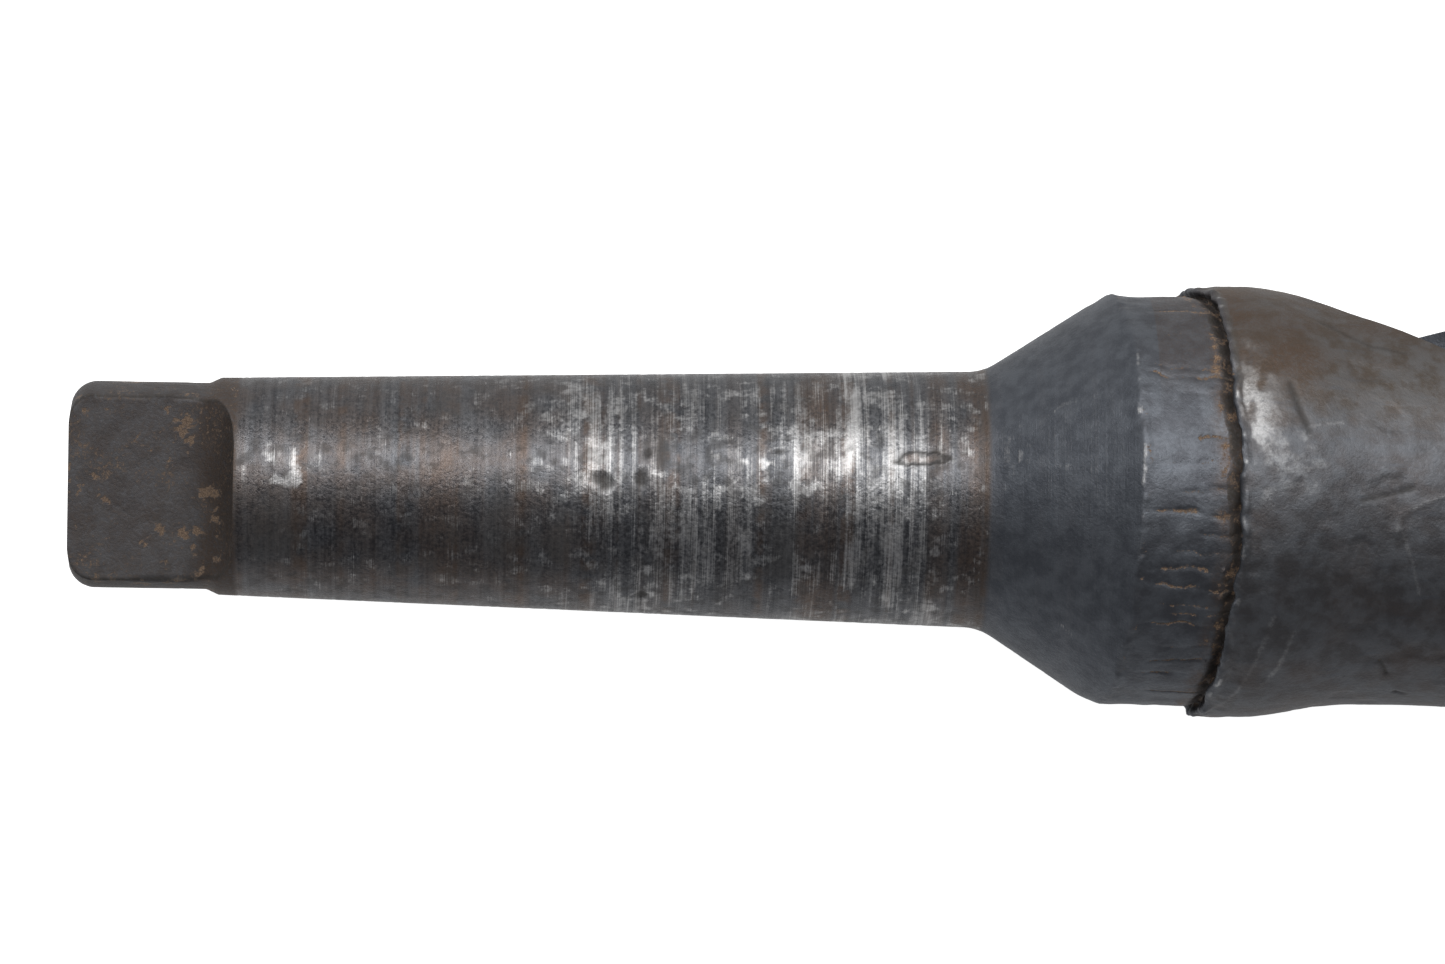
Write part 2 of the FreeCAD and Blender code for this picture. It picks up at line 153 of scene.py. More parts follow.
def within(value, first, last, out, into):
    """One between two places, with a fall to nothing that starts inside them and ends outside."""
    return ramp(first - out, first + into, value) * ramp(last + out, last - into, value)


def turn_gap(turn, other):
    """The signed angle from one turn to another, from -180 to 180."""
    return (turn - other + 180) % 360 - 180


def near_turn(turn, middle, far, close):
    """One within the close angle of a turn, falling to nothing at the far one."""
    return ramp(far, close, np.abs(turn_gap(turn, middle)))


def round_gap(turn, middle, radius):
    """Distance round the surface from a turn."""
    return turn_gap(turn, middle) * math.radians(1) * radius


def lattice(cell, seed):
    """A repeatable value from -1 to 1 for each point of a whole-number grid, from its mixed-up bits."""
    x, y, z = np.moveaxis(cell.astype(np.uint32), -1, 0)
    mixed = x * np.uint32(0x8DA6B343) ^ y * np.uint32(0xD8163841) ^ z * np.uint32(0xCB1AB31F)
    mixed ^= np.uint32(seed * 2654435761 & 0xFFFFFFFF)
    mixed ^= mixed >> np.uint32(15)
    mixed *= np.uint32(0x2C1B3C6D)
    mixed ^= mixed >> np.uint32(12)
    mixed *= np.uint32(0x297A2D39)
    mixed ^= mixed >> np.uint32(15)
    return mixed.astype(np.float64) / 0x7FFFFFFF - 1


def noise(points, size, seed, octaves=1, stretch=(1, 1, 1)):
    """Smooth noise from about -1 to 1, whose largest lumps are size millimetres across."""
    total = np.zeros(points.shape[:-1])
    weight = 0.0
    share = 1.0
    for octave in range(octaves):
        place = points / (np.array(stretch) * size) * 2 ** octave + NOISE_START
        cell = np.floor(place)
        part = place - cell
        part = part * part * part * (part * (part * 6 - 15) + 10)
        cell = cell.astype(np.int64)
        value = np.zeros(points.shape[:-1])
        for corner in range(8):
            step = np.array([corner & 1, corner >> 1 & 1, corner >> 2 & 1])
            near = np.where(step, part, 1 - part)
            value += near[..., 0] * near[..., 1] * near[..., 2] * lattice(cell + step, seed + octave)
        total += share * value
        weight += share
        share /= 2
    return total / weight * NOISE_GAIN


def tilted(points):
    """The same points on axes turned away from the drill's, so that noise on them shows no grid."""
    return points @ TILT


def on_section(along, radius, turn):
    """Points from their place along the axis, radius and turn."""
    angle = np.radians(turn)
    return np.stack([along, radius * np.cos(angle), radius * np.sin(angle)], axis=-1)


def path_gap(along, turn, radius, path):
    """Distance over the surface to a line through places given as (along, turn)."""
    best = np.full(along.shape, SURE_MISS)
    for (x0, t0), (x1, t1) in zip(path, path[1:]):
        run, climb = x1 - x0, round_gap(t1, t0, radius)
        dx, dt = along - x0, round_gap(turn, t0, radius)
        share = np.clip((dx * run + dt * climb) / (run * run + climb * climb), 0, 1)
        best = np.minimum(best, np.hypot(dx - share * run, dt - share * climb))
    return best


def resample(line, count, *columns):
    """Columns of values read at even steps along a line on a plane."""
    travel = np.concatenate([[0], np.cumsum(np.hypot(*np.diff(line, axis=0).T))])
    wanted = np.linspace(0, travel[-1], count)
    return [np.interp(wanted, travel, column) for column in columns]


# ---- meshes

SHARP_ANGLE = math.radians(50)


def add_object(name, data):
    made = bpy.data.objects.new(name, data)
    bpy.context.scene.collection.objects.link(made)
    return made


def build_mesh(name, points, faces, values):
    """A mesh in metres from points, faces and one named value per point."""
    mesh = bpy.data.meshes.new(name)
    mesh.from_pydata((points * MM).tolist(), [], faces)
    for label, numbers in values.items():
        layer = mesh.attributes.new(label, "FLOAT", "POINT")
        layer.data.foreach_set("value", np.ascontiguousarray(numbers, np.float32))
    mesh.shade_smooth()
    mesh.set_sharp_from_angle(angle=SHARP_ANGLE)
    mesh.update()
    return add_object(name, mesh)


def grid_faces(grid, outward=True):
    """Four-sided faces over a grid of point numbers."""
    quads = np.stack([grid[:-1, :-1], grid[1:, :-1], grid[1:, 1:], grid[:-1, 1:]], axis=-1).reshape(-1, 4)
    return (quads[:, ::-1] if outward else quads).tolist()


def ring_faces(rings, outward=True):
    """Four-sided faces between closed rings of point numbers."""
    return grid_faces(np.concatenate([rings, rings[:, :1]], axis=1), outward)


def fan_faces(ring, centre, outward):
    """Triangles from a closed ring of point numbers to a centre."""
    first, second = (ring, np.roll(ring, -1)) if outward else (np.roll(ring, -1), ring)
    return np.stack([first, second, np.full(len(ring), centre)], axis=-1).tolist()


class Surface:
    """Points of a closed grid and the values that its material reads."""

    LABELS = ("ground", "blue", "brown", "bright", "dark", "rust", "flute")

    def __init__(self, along, radius, turn):
        self.along = along
        self.radius = radius
        self.turn = turn
        for label in self.LABELS:
            setattr(self, label, np.zeros(along.shape))

    def points(self):
        return on_section(self.along, self.radius, self.turn)

    def paint(self, label, amount):
        """Raise a value to an amount where it is less."""
        setattr(self, label, np.maximum(getattr(self, label), np.clip(amount, 0, 1)))

    def values(self, count, **added):
        """Each value on the grid, then on a count of added points, where it is nothing unless given."""
        return {
            label: np.append(getattr(self, label), np.broadcast_to(added.get(label, 0.0), count))
            for label in self.LABELS}


# ---- turned and forged radii

def forging_radius(turn, radius):
    """The forging's surface seen from the turned axis, which lies a little off the forging's own."""
    offset = math.hypot(FORGING_UP, FORGING_SIDE)
    lean = np.radians(turn - math.degrees(math.atan2(FORGING_UP, FORGING_SIDE)))
    return offset * np.cos(lean) + np.sqrt(radius ** 2 - (offset * np.sin(lean)) ** 2)


def cone_radius(along):
    root = GAUGE_RADIUS + CONE_START * TAPER_SLOPE
    return root + (along - CONE_START) * CONE_SLOPE


def turned_radius(along):
    taper = GAUGE_RADIUS + along * TAPER_SLOPE
    small = GAUGE_RADIUS + TAPER_SMALL * TAPER_SLOPE
    tang = np.interp(along, [TANG_ROOT, TAPER_SMALL], [TANG_RADIUS, small])
    short = np.clip(TANG_CORNER - (along - TANG_END), 0, TANG_CORNER)
    tang = tang - TANG_CORNER + np.sqrt(TANG_CORNER ** 2 - short ** 2)
    body = smooth_max(taper, cone_radius(along), ROOT_ROUNDING)
    return np.where(along < TAPER_SMALL, tang, body)


def flat_height(along):
    past = np.clip(along - FLAT_END, 0, FLAT_RUNOUT)
    rise = FLAT_RUNOUT - np.sqrt(FLAT_RUNOUT ** 2 - past ** 2)
    return np.where(along < FLAT_WALL, FLAT_HEIGHT + rise, SURE_MISS)


def neck_surface(along, turn):
    """The neck's uneven skin, cut by the turned cone along a ragged ridge.

    Returns the radius, how far past the ridge each place lies, and the points on the round neck.
    """
    round_neck = forging_radius(turn, NECK_RADIUS)
    at = on_section(along, round_neck, turn)
    forged = round_neck + (0.2 * noise(at, 9, 11, 2) + 0.08 * noise(at, 3.2, 12, 2) - SKIN_DEPTH)
    cone = cone_radius(along)
    reach = (cone - forged) / CONE_SLOPE
    burr = bell(reach, 0.5, 0.8) * (0.1 + 0.22 * noise(at, 2.1, 14, 2))
    rounded = 0.25 + 1.8 * ramp(140, 175, turn % 360)
    return smooth_min(cone, forged, rounded) + burr, reach, at


# ---- taper shank

# scuffed rings and stained bands on the taper: from, to and how strong
SILVER_RINGS = [
    (-112.9, -112.5, 0.5), (-103.8, -103.4, 0.6), (-100, -99.5, 0.5),
    (-59, -57.3, 0.6), (-56.6, -55.2, 0.7), (-54.3, -53.1, 0.7), (-52.4, -51.4, 0.5),
    (-45.5, -44.3, 0.6), (-43.4, -40, 0.7), (-38.3, -37.9, 0.8), (-24.4, -21.3, 0.7),
    (-15.4, -12.7, 1), (-12.3, -11.3, 0.8), (-8.8, -5.4, 0.8), (-2.8, -1.1, 0.6),
]
BROWN_BANDS = [
    (-122, -114, 0.5), (-98.8, -95.3, 0.8), (-88.4, -81.5, 0.8), (-79, -77, 0.6),
    (-72.5, -69.5, 0.6), (-50.6, -46.5, 0.4), (-36, -33, 0.4), (-22.3, -17.8, 1),
    (-17.8, -16.6, 0.7), (-1.1, 2.4, 0.9), (4.1, 9.3, 0.9),
]
# pits and dents: place, turn, length along, width round, depth, and what fills them
SHANK_MARKS = [
    (-56.8, 81.4, 4.1, 3.9, 0.3, "dark"), (-60.4, 81.2, 3.2, 5.6, 0.05, "bright"),
    (-49.3, 66.7, 1.4, 2, 0.25, "dark"), (-50.4, 80.4, 2.6, 4.3, 0.18, "dark"),
    (-49.9, 143.2, 2.6, 3.4, 0.3, "dark"), (-26.7, 65.4, 2.8, 1, 0.15, "dark"),
    (-24.4, 82, 2.4, 5, 0.04, "bright"), (-2.4, 68.5, 8.5, 2.4, 0.22, "brown"),
]
# dark patches of scale: place, turn, length along and width round
SCALE_PATCHES = [
    (-75, 104, 8, 17), (-82.5, 107, 2.5, 10), (-113, 110, 12, 14),
    (-64, 112, 5, 9), (-47, 66, 3, 8), (-26, 112, 7, 14),
    (-20, 240, 12, 30), (-90, 300, 14, 26),
]
# light marks rubbed on the cone: places and turns, and how strong
CONE_RUBS = [
    ([
        (30, 56.2), (26.5, 54.2), (21.5, 53.6), (18, 57), (16.2, 62.7), (16.8, 68.8), (20.4, 74.7),
        (26.5, 77.3)], 0.2),
    ([(27, 70), (29.5, 62)], 0.14), ([(24, 47), (27.5, 49)], 0.12),
    ([(20, 128), (24, 133)], 0.22), ([(22.5, 130), (26.5, 134)], 0.18),
]
FLAT_COLUMNS = 110
SIDE_COLUMNS = 90
WALL_STEP = 0.04
# the rings of the tang's end face, as shares of the way from its rim to the centre hole
FACE_SHARES = (0.25, 0.5, 0.75, 0.92, 1.0)


def shank_places():
    """Places of the rows along the shank, closer together where there is more to show."""
    stretches = [
        (TANG_END, TANG_END + TANG_CORNER, 0.3), (TANG_END + TANG_CORNER, TAPER_SMALL + 1, 0.45),
        (TAPER_SMALL + 1, -66.0, 0.55), (-66.0, -45.0, 0.38), (-45.0, 5.0, 0.48),
        (5.0, WELD_START, 0.38),
    ]
    places = []
    for first, last, step in stretches:
        places.extend(np.linspace(first, last, max(2, round((last - first) / step)), endpoint=False))
    places = [place for place in places if abs(place - FLAT_WALL) > 5 * WALL_STEP]
    places.extend([FLAT_WALL - WALL_STEP, FLAT_WALL + WALL_STEP, WELD_START])
    return np.sort(np.array(places))


def shank_turns(places):
    """Turns of the columns. Four of them follow the edges of the tang's flats."""
    level = limited(flat_height(places) / turned_radius(places), 0.97)
    edge = np.degrees(np.arcsin(level))
    relaxed = 45 + (edge[places < FLAT_WALL][-1] - 45) * ramp(FLAT_WALL + 22, FLAT_WALL, places)
    edge = np.where(places < FLAT_WALL, edge, relaxed)[:, None]
    flat_share = np.linspace(-1, 1, FLAT_COLUMNS, endpoint=False)[None, :]
    side_share = np.linspace(-1, 1, SIDE_COLUMNS, endpoint=False)[None, :]
    # equal steps across a flat are not equal steps of turn
    square = ramp(FLAT_WALL + 8, FLAT_WALL - 4, places)[:, None]
    reach = np.tan(np.radians(np.minimum(90 - edge, 88)))
    even = flat_share * (90 - edge)
    across = np.degrees(np.arctan(flat_share * reach))
    flat = even + (across - even) * square
    side = side_share * edge
    return np.concatenate([side, 90 + flat, 180 + side, 270 + flat], axis=1)


def oval_gap(surface, place, middle, length, width):
    """How far each point lies from a mark's middle, as a share of the oval round it."""
    across = round_gap(surface.turn, middle, surface.radius)
    return np.hypot((surface.along - place) / length * 2, across / width * 2)


def taper_wear(surface, at, lumps, patches, on_taper):
    """Scuffed rings, stained bands, patches of scale and bare glints."""
    along = surface.along
    streak = noise(at, 5, 22, 3, (0.12, 4, 4))
    for first, last, strength in SILVER_RINGS:
        ring = within(along, first, last, 0.4, 0.3)
        surface.paint("bright", ring * strength * limited(0.42 + 0.6 * streak + 0.7 * patches))
    for first, last, strength in BROWN_BANDS:
        soft = min(0.8, (last - first) / 3)
        band = within(along, first, last, soft, soft)
        surface.paint("brown", band * strength * limited(0.6 + 0.5 * lumps + 0.3 * streak))
    worn = ramp(-72, -58, along) * ramp(6, 2, along)
    surface.paint("bright", worn * limited(0.1 + 0.55 * streak + 0.35 * patches, 0.55))
    for mark in SCALE_PATCHES:
        surface.paint("dark", 0.45 * ramp(1.2, 0.4, oval_gap(surface, *mark) + 0.35 * patches))
    scuff = within(along, -117, -108, 5, 0) * near_turn(surface.turn, 75, 24, 6)
    surface.paint("bright", limited(1.2 * scuff * (0.18 + 0.75 * noise(at, 2.2, 23, 3)), 0.75))
    glints = limited(0.8 * noise(tilted(at), 1.9, 38, 3) + 0.25 * patches, 0.65)
    surface.paint("bright", glints * (0.6 + 0.4 * ramp(-75, -58, along)) * on_taper)
    surface.paint("dark", limited(0.75 * noise(tilted(at), 1.5, 39, 3) - 0.1, 0.32) * on_taper)
    surface.paint("brown", 0.5 * ramp(-52, -66, along) * limited(0.5 + lumps))


def mark_depth(surface, at):
    """Pits and dents, with their raised bright rims."""
    depth = 0
    ragged = 0.3 * noise(at, 1.2, 25, 2)
    glint = 0.4 * limited(0.3 + noise(at, 1.5, 26))
    for *mark, deep, fill in SHANK_MARKS:
        gap = oval_gap(surface, *mark) + ragged
        hollow = ramp(1.15, 0.35, gap)
        depth = depth + deep * hollow
        surface.paint(fill, 0.7 * hollow)
        if fill != "bright":
            rim = bell(gap, 1.25, 0.22)
            surface.paint("bright", glint * rim)
            depth = depth - 0.03 * rim
        if fill == "brown":
            surface.paint("dark", 0.8 * bell(gap, 0.95, 0.2))
    return depth


def tang_depth(surface, at, lumps, on_tang, on_flat, past_flat):
    """Rust freckles, pocks on the flats and chips on their edges."""
    along = surface.along
    pocks = ramp(0.45, 0.75, noise(at, 2.2, 28, 2))
    side = ramp(0.95, 0.99, np.hypot(at[..., 1], at[..., 2]) / turned_radius(along))
    edge = bell(past_flat, 0, 0.35) * on_tang * side
    surface.paint("bright", 0.45 * edge * limited(0.1 + 1.1 * noise(at, 2.2, 31, 2)))
    surface.paint("dark", 0.8 * edge)
    rounds = on_tang * (1 - on_flat)
    surface.paint("dark", np.maximum(0.35 * rounds, 0.4 * on_flat))
    surface.paint("brown", 0.8 * rounds)
    freckles = limited(0.2 + 0.16 * noise(tilted(at), 5, 33, 2), 0.36)
    specks = ramp(0.16, 0.5, noise(tilted(at), 1.7, 32, 3))
    specks = 0.72 * specks * ramp(-0.5, 0.3, noise(tilted(at), 7, 36, 2))
    surface.paint("rust", on_flat * np.maximum(freckles, specks))
    runout = 0.9 * ramp(FLAT_END + 2, FLAT_END + 7, along)
    surface.paint("brown", on_flat * (runout + 0.25 * limited(1.5 + lumps, 2)))
    chips = edge * limited(0.3 + 0.9 * noise(at, 2.6, 30, 2))
    return on_flat * (0.03 * noise(at, 7, 29, 3) + 0.05 * pocks) + 0.3 * chips


def cone_wear(surface, at, lumps, on_cone):
    """A dark root, a soft pale patch and light marks rubbed on the cone."""
    along, turn = surface.along, surface.turn
    root = ramp(CONE_START - 2.6, CONE_START - 0.8, along)
    surface.paint("dark", 0.25 * root * ramp(CONE_START + 1.2, CONE_START - 0.4, along))
    patch = np.hypot((along - 27) / 11, turn_gap(turn, 74) / 21) + 0.08 * lumps
    surface.paint("bright", 0.13 * ramp(1.1, 0.85, patch) * on_cone)
    speckle = ramp(4.5, 1.0, np.abs(along - 13.5)) * near_turn(turn, 70, 22, 8)
    surface.paint("bright", 0.3 * speckle * on_cone * limited(0.5 + noise(at, 1.2, 34, 2)))
    rubbed = 1.7 * limited(0.6 + 0.8 * noise(at, 3, 35, 2), 1.2)
    for path, strength in CONE_RUBS:
        line = bell(path_gap(along, turn, surface.radius, path), 0, 0.45)
        surface.paint("bright", strength * line * rubbed)


def shank_finish(surface):
    """Wear and colour of the shank."""
    along = surface.along
    at = surface.points()
    on_tang = ramp(FLAT_WALL + 0.3, FLAT_WALL - 0.1, along)
    past_flat = np.abs(at[..., 2]) - flat_height(along)
    on_flat = on_tang * ramp(0.5, 0.15, past_flat)
    on_cone = ramp(CONE_START - 0.3, CONE_START + 0.6, along)
    surface.ground[:] = 1 - on_flat
    surface.blue[:] = np.maximum(0.7 * on_flat, 0.85 * on_cone)
    surface.brown[:] = 0.4 * on_flat
    lumps = noise(tilted(at), 6, 21, 3)
    taper_wear(surface, at, lumps, noise(tilted(at), 9, 20, 3), (1 - on_tang) * (1 - on_cone))
    cone_wear(surface, at, lumps, on_cone)
    # shallow grooves that the grinding and the wear have left round the taper
    groove = ramp(0.35, 0.8, noise(at, 3.0, 27, 3, (0.3, 60, 60))) * (1 - on_tang)
    depth = 0.012 * noise(at, 4, 24, 2) + mark_depth(surface, at) + 0.035 * groove
    surface.radius = surface.radius - depth - tang_depth(surface, at, lumps, on_tang, on_flat, past_flat)


def cone_finish(surface):
    """The turned cone and its ragged ridge. It fades in along the shank and covers the weld."""
    _, reach, at = neck_surface(surface.along, surface.turn)
    past = ramp(-0.4, 0.5, reach)
    ragged = noise(at, 2.0, 41, 3)
    surface.ground = np.where(reach > -30, np.minimum(surface.ground, 1 - past), surface.ground)
    surface.blue = surface.blue * (1 - past) + 0.85 * past
    facing = 0.25 + 0.75 * near_turn(surface.turn, 68, 40, 15)
    surface.paint("bright", 0.75 * bell(reach, 0.1, 0.45) * facing * limited(0.4 + ragged))
    surface.paint("rust", 0.6 * bell(reach, 0.9, 0.7) * limited(0.1 + 0.9 * ragged))


def make_shank():
    places = shank_places()
    turn = shank_turns(places)
    along = np.repeat(places[:, None], turn.shape[1], axis=1)
    limit = flat_height(along) / np.maximum(np.abs(np.sin(np.radians(turn))), 1e-3)
    turned = turned_radius(along)
    ridge, _, _ = neck_surface(along, turn)
    turned = np.where(along > CONE_START + 8, np.minimum(turned, ridge), turned)
    surface = Surface(along, smooth_min(turned, limit, 0.35), turn)
    shank_finish(surface)
    cone_finish(surface)
    return close_shank(surface)


def close_shank(surface):
    """Add the tang's end face with its centre hole, and the face that meets the weld."""
    rows, columns = surface.along.shape
    rim = surface.radius[0]
    middle = (HOLE_MOUTH + HOLE_PILOT) / 2
    face = [(rim + (HOLE_MOUTH - rim) * share, 0) for share in FACE_SHARES]
    hole = [
        (HOLE_MOUTH - 0.25, 0.2), (middle, HOLE_SEAT / 2), (HOLE_PILOT, HOLE_SEAT),
        (HOLE_PILOT, HOLE_DEPTH - 1.3), (HOLE_PILOT / 2, HOLE_DEPTH - 0.65),
    ]
    rings = [
        on_section(np.full(columns, TANG_END + deep), np.broadcast_to(radius, columns), surface.turn[0])
        for radius, deep in face + hole]
    ends = [[TANG_END + HOLE_DEPTH, 0, 0], [WELD_START, 0, 0]]
    points = np.concatenate([surface.points().reshape(-1, 3), *rings, ends])
    numbers = np.arange(len(points) - 2).reshape(-1, columns)
    faces = ring_faces(numbers[:rows])
    faces += ring_faces(numbers[[0, rows]], False)
    faces += ring_faces(numbers[rows:], False)
    faces += fan_faces(numbers[-1], len(points) - 2, False)
    faces += fan_faces(numbers[rows - 1], len(points) - 1, True)
    added = len(points) - rows * columns
    dark = np.full(added, 0.45)
    dark[len(face) * columns:-1] = 0.8
    return build_mesh("taper_shank_steel", points, faces, surface.values(added, blue=0.45, dark=dark))


# ---- outline of the fluted body

FLUTE_COLUMNS = 100
LAND_COLUMNS = 184
MARGIN_COLUMNS = 15
# a flute takes in at least this turn on each side, and there is none where it opens less than the least angle
LEAST_SPAN = 25.0
LEAST_ANGLE = 0.01
SPAN_POINTS = 60
ARC_POINTS = 160
COLUMNS = 2 * (FLUTE_COLUMNS + LAND_COLUMNS + MARGIN_COLUMNS)
# the lip: turns round the body and where the lip stands along it
LIP_MIDDLE = 49.0
LIP_TURNS = [-180, -150, -90, -45, -3, 18, 35, 53, 64, 75, 87, 96, 106, 116, 127, 144, 162, 180]
LIP_PLACES = [47, 46, 44, 44, 45.5, 48.5, 50.2, 50.5, 51.2, 51.7, 52.1, 52.1, 51.5, 50.6, 49.8, 49, 48, 47]


def even_lip(turn):
    """Where the shoulder's lip stands, before it is made ragged."""
    spread = (-8, -3, 3, 8)
    return sum(np.interp(turn_gap(turn, step), LIP_TURNS, LIP_PLACES) for step in spread) / len(spread)


def lip_place(turn):
    """Where the shoulder's ragged lip stands."""
    at = on_section(np.full(np.shape(turn), LIP_MIDDLE), NECK_RADIUS, turn)
    return even_lip(turn) + 0.55 * noise(at, 5.0, 51, 2) + 0.28 * noise(at, 1.5, 52, 2)


def outer_radius(along, turn):
    """The body before its flutes are cut: neck, shoulder, and the fade into the lands."""
    shoulder = NECK_RADIUS + SHOULDER_RISE * ramp(-1.6, -0.8, along - even_lip(turn))
    worn = ramp(SHOULDER_END - 4, SHOULDER_END + 18, along)
    forged = forging_radius(turn, shoulder + (CUTTING_RADIUS - shoulder) * worn)
    fade = ramp(SHOULDER_END + 8, LAND_START + 24, along)
    return forged + (CUTTING_RADIUS - forged) * fade


def half_web(along):
    return (WEB_POINT + WEB_GROWTH * (CORNER - along)) / 2


def flute_turn(along, number):
    return FLUTE_PHASE + (along - PHASE_PLANE) / LEAD * 360 + 180 * number


def flute_distance(along, number):
    """From the axis to the middle of a flute's round section."""
    start = FLUTE_START + FLUTE_STAGGER * number
    climb = CUTTING_RADIUS - half_web(start)
    length = math.sqrt(FLUTE_EXIT ** 2 - (FLUTE_EXIT - climb) ** 2)
    short = max(start + length - along, 0)
    if short >= FLUTE_EXIT:
        return SURE_MISS
    return half_web(along) + FLUTE_RADIUS + FLUTE_EXIT - math.sqrt(FLUTE_EXIT ** 2 - short ** 2)


def clearance(along, side=1):
    """How far the land lies under the margin. Only the side after a flute has it."""
    return LAND_CLEARANCE * ramp(LAND_START + 6, LAND_START + 26, along) * (side > 0)


def opening(along, middle, distance, side):
    """Half the angle that a flute opens on one side, and the radius where it comes out."""
    angle = 0.0
    for _ in range(6):
        radius = float(outer_radius(along, middle + side * angle) - clearance(along, side))
        cosine = (radius ** 2 + distance ** 2 - FLUTE_RADIUS ** 2) / (2 * radius * distance)
        angle = math.degrees(math.acos(min(1.0, max(-1.0, cosine))))
    return angle, radius


def flute_section(along, number):
    """Points across one flute and the outer surface beside it, as radius, turn and how much is flute."""
    middle = flute_turn(along, number)
    distance = flute_distance(along, number)
    sides = []
    for side in (-1, 1):
        angle, radius = opening(along, middle, distance, side)
        count = SPAN_POINTS if LEAST_SPAN > angle else 0
        turns = middle + side * np.linspace(LEAST_SPAN, angle, count, endpoint=False)
        outer = outer_radius(along, turns) - clearance(along, side)
        _, up, across = on_section(0, radius, angle)
        sides.append((np.stack([outer, turns], axis=-1), math.atan2(across, distance - up), angle))
    (before, bend_low, angle_low), (after, bend_high, _) = sides
    bends = np.linspace(-bend_low, bend_high, ARC_POINTS if angle_low > LEAST_ANGLE else 0)
    across = FLUTE_RADIUS * np.sin(bends)
    out = distance - FLUTE_RADIUS * np.cos(bends)
    arc = np.stack([np.hypot(across, out), middle + np.degrees(np.arctan2(across, out))], axis=-1)
    line = np.concatenate([before, arc, after[::-1]])
    cut = np.repeat([0, 1, 0], [len(before), len(arc), len(after)])
    flat = on_section(np.zeros(len(line)), *line.T)[:, 1:]
    return resample(flat, FLUTE_COLUMNS + 1, *line.T, cut)


def body_section(along):
    """The closed outline at one place: radius, turn and how much is flute, for each column."""
    flutes = [flute_section(along, number) for number in (0, 1)]
    parts = []
    for number, (radius, turn, cut) in enumerate(flutes):
        following = flutes[1 - number][1][0] + 360 * number
        foot = following - MARGIN_TURN
        land = np.linspace(turn[-1], foot, LAND_COLUMNS)
        margin = np.linspace(foot + 0.4, following, MARGIN_COLUMNS, endpoint=False)
        parts += [
            (radius[:-1], turn[:-1], cut[:-1]),
            (outer_radius(along, land) - clearance(along), land, 0 * land),
            (outer_radius(along, margin), margin, 0 * margin),
        ]
    return np.concatenate(parts, axis=1)


class Outlines:
    """Outlines at close, even places along the body, read at any place between them."""

    STEP = 0.5

    def __init__(self):
        self.places = np.arange(WELD_END, TIP + self.STEP, self.STEP)
        self.sections = np.array([body_section(place) for place in self.places])

    def read(self, along):
        """Radius, turn and flute share of every column, at its own place along the body."""
        index = np.clip((along - self.places[0]) / self.STEP, 0, len(self.places) - 1.001)
        low = index.astype(int)
        share = index - low
        column = np.broadcast_to(np.arange(COLUMNS), along.shape)
        near = self.sections[low, :, column]
        far = self.sections[low + 1, :, column]
        return np.moveaxis(near + (far - near) * share[..., None], -1, 0)


# ---- point

# turns from the flutes' middles back to the cutting lips, and from the lips to the chisel edge
LIP_LAG = 42.0
CHISEL_TURN = 60.0
POINT_RELIEF = 5.0


def flank_place(radius, turn):
    """How far along the point's ground flanks lie, with their relief and the chisel edge between them."""
    lip_turn = flute_turn(CORNER, 0) - LIP_LAG
    behind = (lip_turn - turn) % 180
    relief = POINT_RELIEF * (behind / 180) * ramp(WEB_POINT / 2, CUTTING_RADIUS, radius)
    chisel = np.radians(turn - lip_turn - CHISEL_TURN)
    far = ramp(1.0, WEB_POINT * 0.6, radius)
    across = radius * np.sqrt(np.sin(chisel) ** 2 + far * np.cos(chisel) ** 2)
    return TIP - across * POINT_SLOPE - relief


def flank_places(outlines):
    """Where each column of the body's side reaches the point's flanks."""
    tail = outlines.places > CORNER - 25
    places = outlines.places[tail]
    radius, turn, _ = np.moveaxis(outlines.sections[tail], 1, 0)
    past = places[:, None] - flank_place(radius, turn)
    first = np.argmax(past > 0, axis=0)
    before, after = past[first - 1, range(COLUMNS)], past[first, range(COLUMNS)]
    return places[first - 1] + outlines.STEP * before / (before - after)


# ---- forged wear of the body

# the lip's profile: along from the lip line and out from the neck
LIP_PROFILE = [
    (-2.9, 0.0), (-2.2, -0.15), (-1.6, -0.4), (-1.0, -0.65), (-0.4, -0.75), (-0.05, -0.6),
    (-0.1, -0.3), (-0.45, 0.4), (-0.8, 1.0), (-0.75, 1.4), (-0.35, 1.72), (0.3, 1.8), (1.0, 1.8),
]
LIP_ROWS = 20
POINT_ROWS = 25
LIP_REACH = 4.0
# where the rows stop following the lip, and where the forged skin has given way to ground lands
LIP_FADE = LAND_START - 1
FORGING_END = 101.0
# laps drawn out along the neck: turn, first and last share of the way from ridge to lip, depth
RIDGE_MIDDLE = 36.0
NECK_LAPS = [
    (49, 0.05, 0.9, 0.35), (52, 0, 1, 0.5), (57, 0.3, 0.9, 0.2), (70, 0.45, 1, 0.45),
    (76, 0.1, 0.8, 0.2), (83, 0.3, 1, 0.3), (89, 0, 0.8, 0.5), (99, 0.2, 1, 0.3),
    (103.5, 0, 0.7, 0.4), (114, 0.1, 0.8, 0.4), (120, 0, 1, 0.45), (127, 0.2, 0.8, 0.3),
    (133, 0, 0.7, 0.4), (150, 0.1, 0.9, 0.4), (24, 0.1, 0.9, 0.4), (36, 0.2, 0.7, 0.3),
    (94, 0.55, 1, 0.35), (108.5, 0.05, 0.95, 0.45), (117, 0.3, 1, 0.4), (139, 0, 0.6, 0.35),
]
